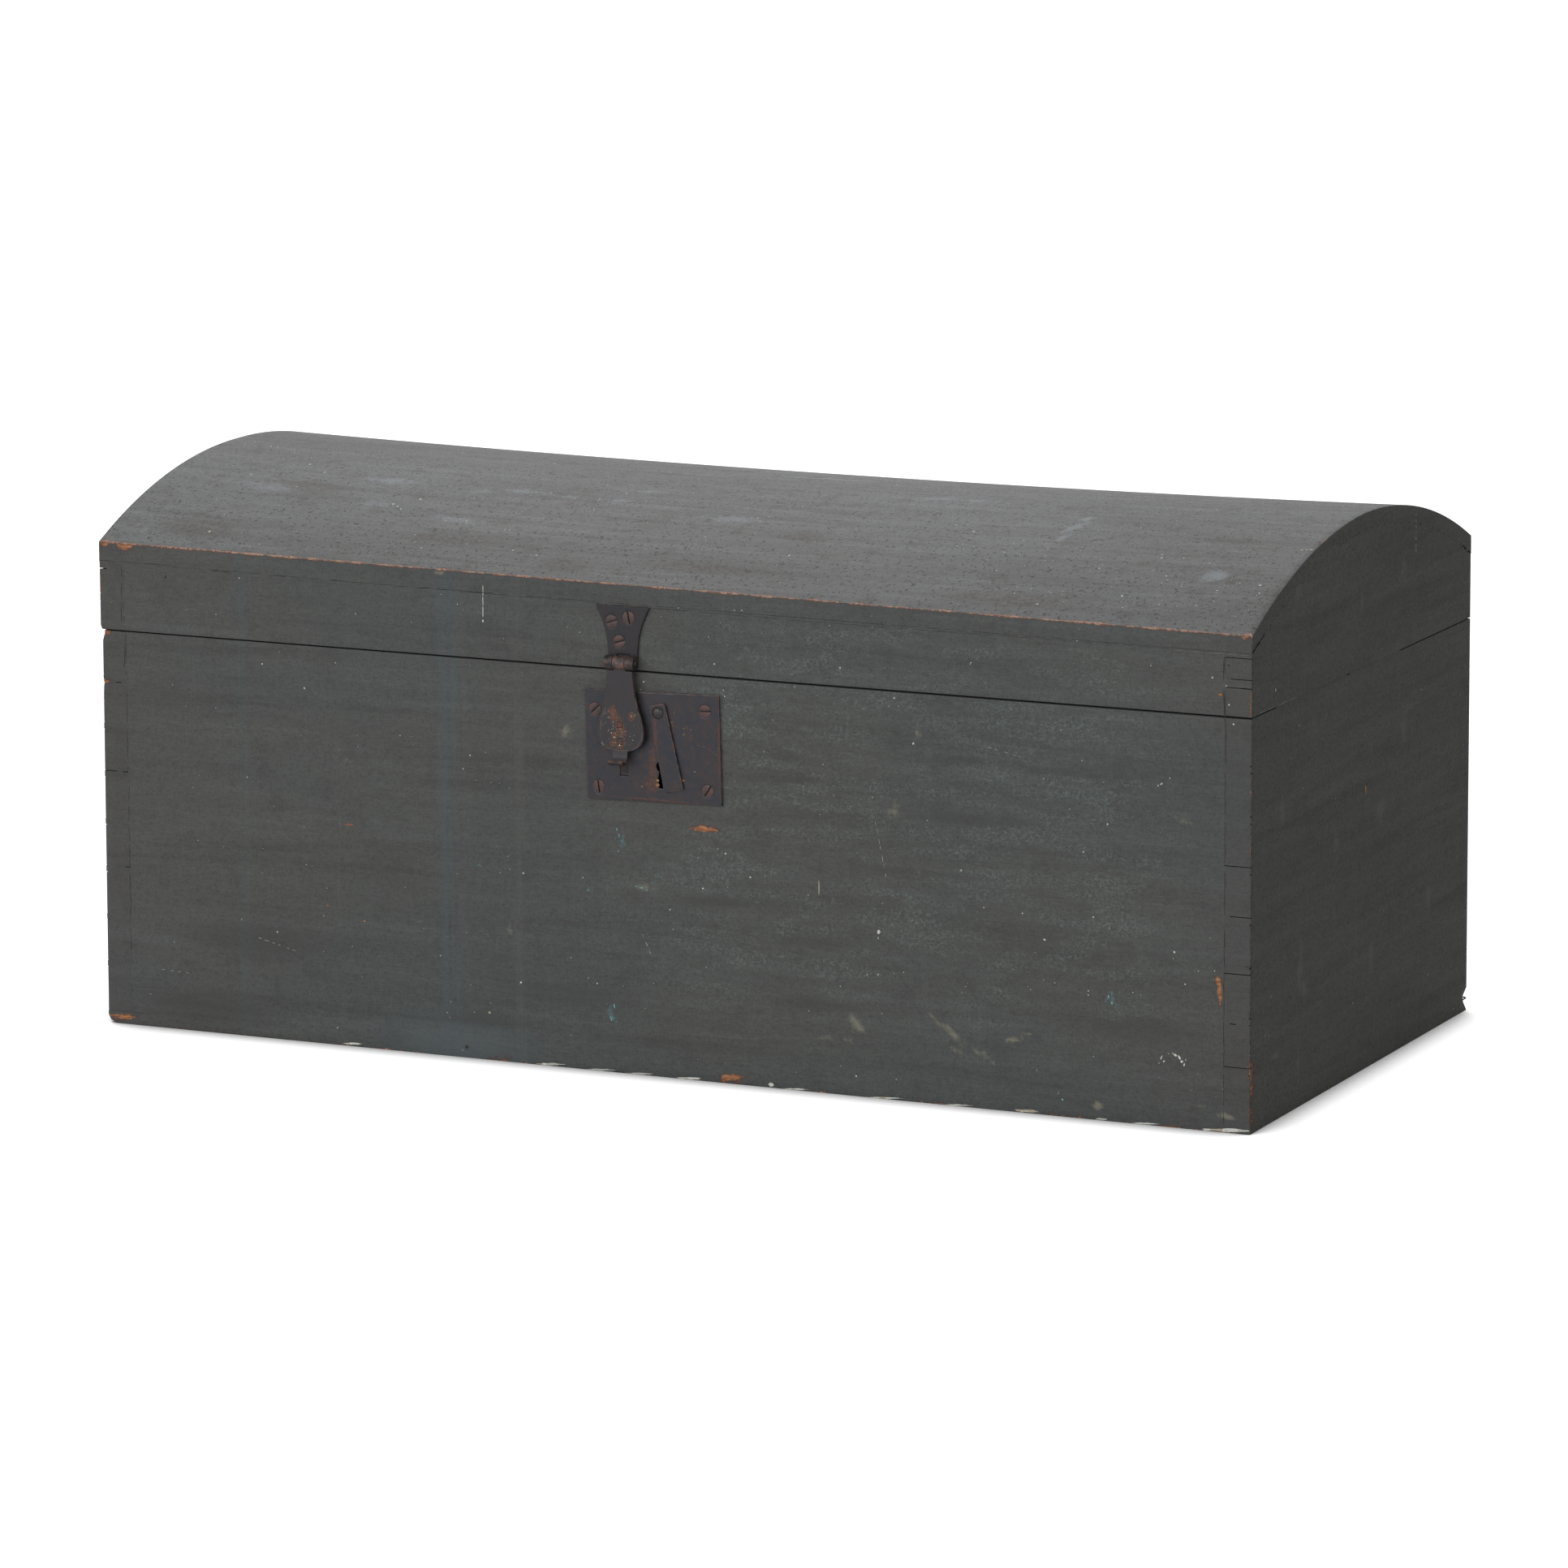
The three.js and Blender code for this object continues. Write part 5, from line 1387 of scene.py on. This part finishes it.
# Rust on the lock's front, in millimetres along and up the front, half sizes, and a turn in degrees.
RUSTS = [
    (-25.5, 207, 3.2, 5.0, 20), (-22, 201, 3.0, 5.0, 20), (-20, 196.5, 2.6, 3.0, 0),
    (-25, 195, 2.6, 2.4, 0), (-21.5, 190, 3.6, 2.6, 0), (-26, 190, 2.0, 2.0, 0), (-14.5, 206, 2.0, 2.4, 0),
    (-3.5, 177, 2.6, 13, 0), (-1.6, 196, 1.4, 12, 0), (-4, 168, 5, 4, 0), (9.5, 204, 0.7, 9, -6),
    (-2, 158.8, 34, 0.6, -1), (37.6, 190, 0.7, 24, 0),
]
IRON_GRID = 1.5 * MM
IRON_SHARP = 35  # degrees
IRON_EDGE = 0.6  # radians
SIDEWAYS = 0.7  # a face turned further from the front than this is a side
HASP_AXIS = (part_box("hasp_pin")[0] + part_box("hasp_pin")[1]) / 2
KNUCKLE_REACH = 4.4 * MM


def rust_field(points):
    """How far points lie from the nearest patch of rust, where 1 is a patch's rim."""
    nearest = np.full(len(points), float(FAR))
    for x, z, across, down, tilt in RUSTS:
        turn = math.radians(tilt)
        right_of = points[:, 0] - x * MM
        above = points[:, 2] - z * MM
        first = (right_of * math.cos(turn) + above * math.sin(turn)) / (across * MM)
        second = (above * math.cos(turn) - right_of * math.sin(turn)) / (down * MM)
        nearest = np.minimum(nearest, np.hypot(first, second))
    return nearest


def in_knuckle(face):
    middle = face.calc_center_median()
    return math.hypot(middle.y - HASP_AXIS.y, middle.z - HASP_AXIS.z) < KNUCKLE_REACH


def round_edges(shape, node, width, fronted):
    """Rounds the sharp edges. A material index of 1 marks the faces that are worn pale."""
    sharp = [e for e in shape.edges if len(e.link_faces) == 2 and e.calc_face_angle(0) > IRON_EDGE]
    rounded = set(bevel(shape, sharp, width * MM, 2)["faces"])
    shape.normal_update()
    for face in shape.faces:
        side = fronted and abs(face.normal.y) < SIDEWAYS
        knuckle = node.startswith("hasp") and in_knuckle(face)
        face.material_index = int(face in rounded or side or knuckle)


def add_iron_fields(mesh, node):
    """Gives each face its wear, and each point its place at rest, its rust and its depth in a slot."""
    add_numbers(mesh, "edge", [polygon.material_index for polygon in mesh.polygons], "FACE")
    for polygon in mesh.polygons:
        polygon.material_index = 0
    rest = add_rest(mesh)
    add_numbers(mesh, "rust", rust_field(rest) if rest[:, 1].max() < 0 else np.full(len(rest), FAR))
    outwards = np.abs(rest[:, 1])
    add_numbers(mesh, "depth", (outwards.max() - outwards) * ("screw" in node))


def make_iron(node, material, slot, width, fronted=False):
    """A copy of an iron node with its edges rounded, and its front cut into a grid if it is to rust."""
    shape = clean_copy(node)
    if width:
        round_edges(shape, node, width, fronted)
    if fronted:
        cut_grid(shape, (0, 2), IRON_GRID, 0, lambda face: face.normal.y < -SIDEWAYS)
    smooth_between(shape, IRON_SHARP)
    name = f"finished_{node}"
    mesh = mesh_of(name, shape)
    add_iron_fields(mesh, node)
    return add_piece(name, mesh, [material], slot, body_of(node), node)


# Each iron piece's material, slot, rounding in millimetres and whether its front is cut into a grid: by
# its own name, or else by the first of the parts of names that is in it.
OWN_LOOKS = {
    "lock_plate": (plate_iron, "black_iron", 0.22, True),
    "keyhole_cover": (plate_iron, "black_iron", 0.2, True),
    "keyhole_cover_rivet": (rivet_iron, "black_iron", 0),
    "hasp_strap": (strap_iron, "black_iron", 0.35, True),
    "hasp_staple": (strap_iron, "black_iron", 0.3),
    "hasp_leaf": (leaf_iron, "black_iron", 0.25, True),
    "hasp_pin": (bare_iron, "bare_iron", 0.15),
    "lock_bolt": (bare_iron, "bare_iron", 0.15),
    "lock_case": (bare_iron, "bare_iron", 0.15),
}
SHARED_LOOKS = {
    "dome_nail": (dome_paint, "nail_iron", 0.1),
    "screw": (screw_iron, "rusty_iron", 0.12),
    "_leaf": (leaf_iron, "black_iron", 0.25),
    "nail": (screw_iron, "nail_iron", 0),
    "": (bare_iron, "bare_iron", 0),
}
# The keyhole's cover hangs a little off the CAD's place, so that more of the keyhole shows.
COVER_SWING = math.radians(-2.2)


def look_of(node):
    return OWN_LOOKS.get(node) or next(look for part, look in SHARED_LOOKS.items() if part in node)


def swing(mesh):
    """Turns the cover about its rivet."""
    low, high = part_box("keyhole_cover_rivet")
    pivot = Matrix.Translation((low + high) / 2)
    mesh.transform(pivot @ Matrix.Rotation(COVER_SWING, 4, "Y") @ pivot.inverted())


for node in nodes:
    if node in (*CASE_BOARDS, *LID_BOARDS, "dome_board"):
        continue
    finished = make_iron(node, *look_of(node))
    if node == "keyhole_cover":
        swing(finished.data)
    if node.startswith("dome_nail"):
        settle(finished.data)

# A dark grey box in the foot of the staple's slot, rough in front: painted shade that stands in for the dim
# inside of the slot.
SLOT_SHADE_LOW = Vector((-24.2, -172.0, 171.5)) * MM
SLOT_SHADE_HIGH = Vector((-18.5, -171.3, 184.5)) * MM
SLOT_SHADE_CUTS = 9
SLOT_SHADE_ROUGHNESS = 0.3 * MM


def shade_staple_slot():
    shape = bmesh.new()
    bmesh.ops.create_cube(shape, size=1)
    for vertex in shape.verts:
        place = vertex.co + Vector((0.5, 0.5, 0.5))
        vertex.co = Vector([SLOT_SHADE_LOW[i] + place[i] * (SLOT_SHADE_HIGH[i] - SLOT_SHADE_LOW[i]) for i in range(3)])
    long_edges = [edge for edge in shape.edges if abs(edge.verts[0].co.z - edge.verts[1].co.z) > MM]
    bmesh.ops.subdivide_edges(shape, edges=long_edges, cuts=SLOT_SHADE_CUTS)
    for vertex in shape.verts:
        if vertex.co.y < SLOT_SHADE_LOW.y + 0.1 * MM:
            vertex.co.y += SLOT_SHADE_ROUGHNESS * draw.random()
    mesh = mesh_of("staple_slot_shade", shape)
    add_numbers(mesh, "rust", np.full(len(add_rest(mesh)), FAR))
    add_piece("staple_slot_shade", mesh, [slot_shade_iron], "black_iron", "case")


shade_staple_slot()

# The stage: a white floor that keeps the trunk's shadow, and soft light.
FLOOR_SIZE = 30
FLOOR_HEIGHT = -0.1 * MM
FLOOR_GREY = (0.38, 0.38, 0.38, 1)
SHADOW_REACH = 48 * MM
SHADOW_SAMPLES = 16
SHADED = 0.38
OPEN_FLOOR = 0.78
SKY = 0.3
WHITE = (1, 1, 1, 1)
LOOK_AT = Vector((0, 0, 0.15))
LAMPS = (
    ("front_light", (-1.3, -3.2, 1.3), (3.4, 2.2), 67),
    ("side_light", (2.2, -2.8, 1.2), (2.2, 1.8), 26),
    ("top_light", (-1.3, 1.7, 2.8), (2.2, 1.6), 66),
)


def make_floor():
    bpy.ops.mesh.primitive_plane_add(size=FLOOR_SIZE, location=(0, 0, FLOOR_HEIGHT))
    floor = bpy.context.object
    floor.name = "floor"
    n = material_net("floor")
    shade = n.add("ShaderNodeAmbientOcclusion", samples=SHADOW_SAMPLES)
    n.put(shade.inputs["Distance"], SHADOW_REACH)
    glow = n.add("ShaderNodeEmission")
    n.put(glow.inputs["Strength"], n.times(n.seen(), n.ease(shade.outputs["AO"], SHADED, OPEN_FLOOR)))
    matt = n.fed(n.add("ShaderNodeBsdfDiffuse"), FLOOR_GREY)
    n.output(n.fed(n.add("ShaderNodeAddShader"), matt.outputs[0], glow.outputs[0]).outputs[0])
    floor.data.materials.append(n.owner)


def make_world():
    """White where it is seen, and dimmer where it only lights the trunk."""
    world = bpy.data.worlds.new("studio")
    bpy.context.scene.world = world
    n = Net(world)
    strength = n.fed(n.add("ShaderNodeMapRange"), n.seen(), 0, 1, SKY, 1).outputs[0]
    sky = n.fed(n.add("ShaderNodeBackground"), WHITE, strength)
    n.output(sky.outputs[0], "ShaderNodeOutputWorld")


def softbox(name, place, size, power):
    light = bpy.data.lights.new(name, "AREA")
    light.shape = "RECTANGLE"
    light.size, light.size_y = size
    light.energy = power
    lamp = add_object(name, light)
    lamp.location = place
    way = LOOK_AT - lamp.location
    lamp.rotation_euler = way.to_track_quat("-Z", "Y").to_euler()
    lamp.visible_camera = False


make_floor()
make_world()
for lamp in LAMPS:
    softbox(*lamp)

bpy.context.scene.view_settings.view_transform = "Standard"
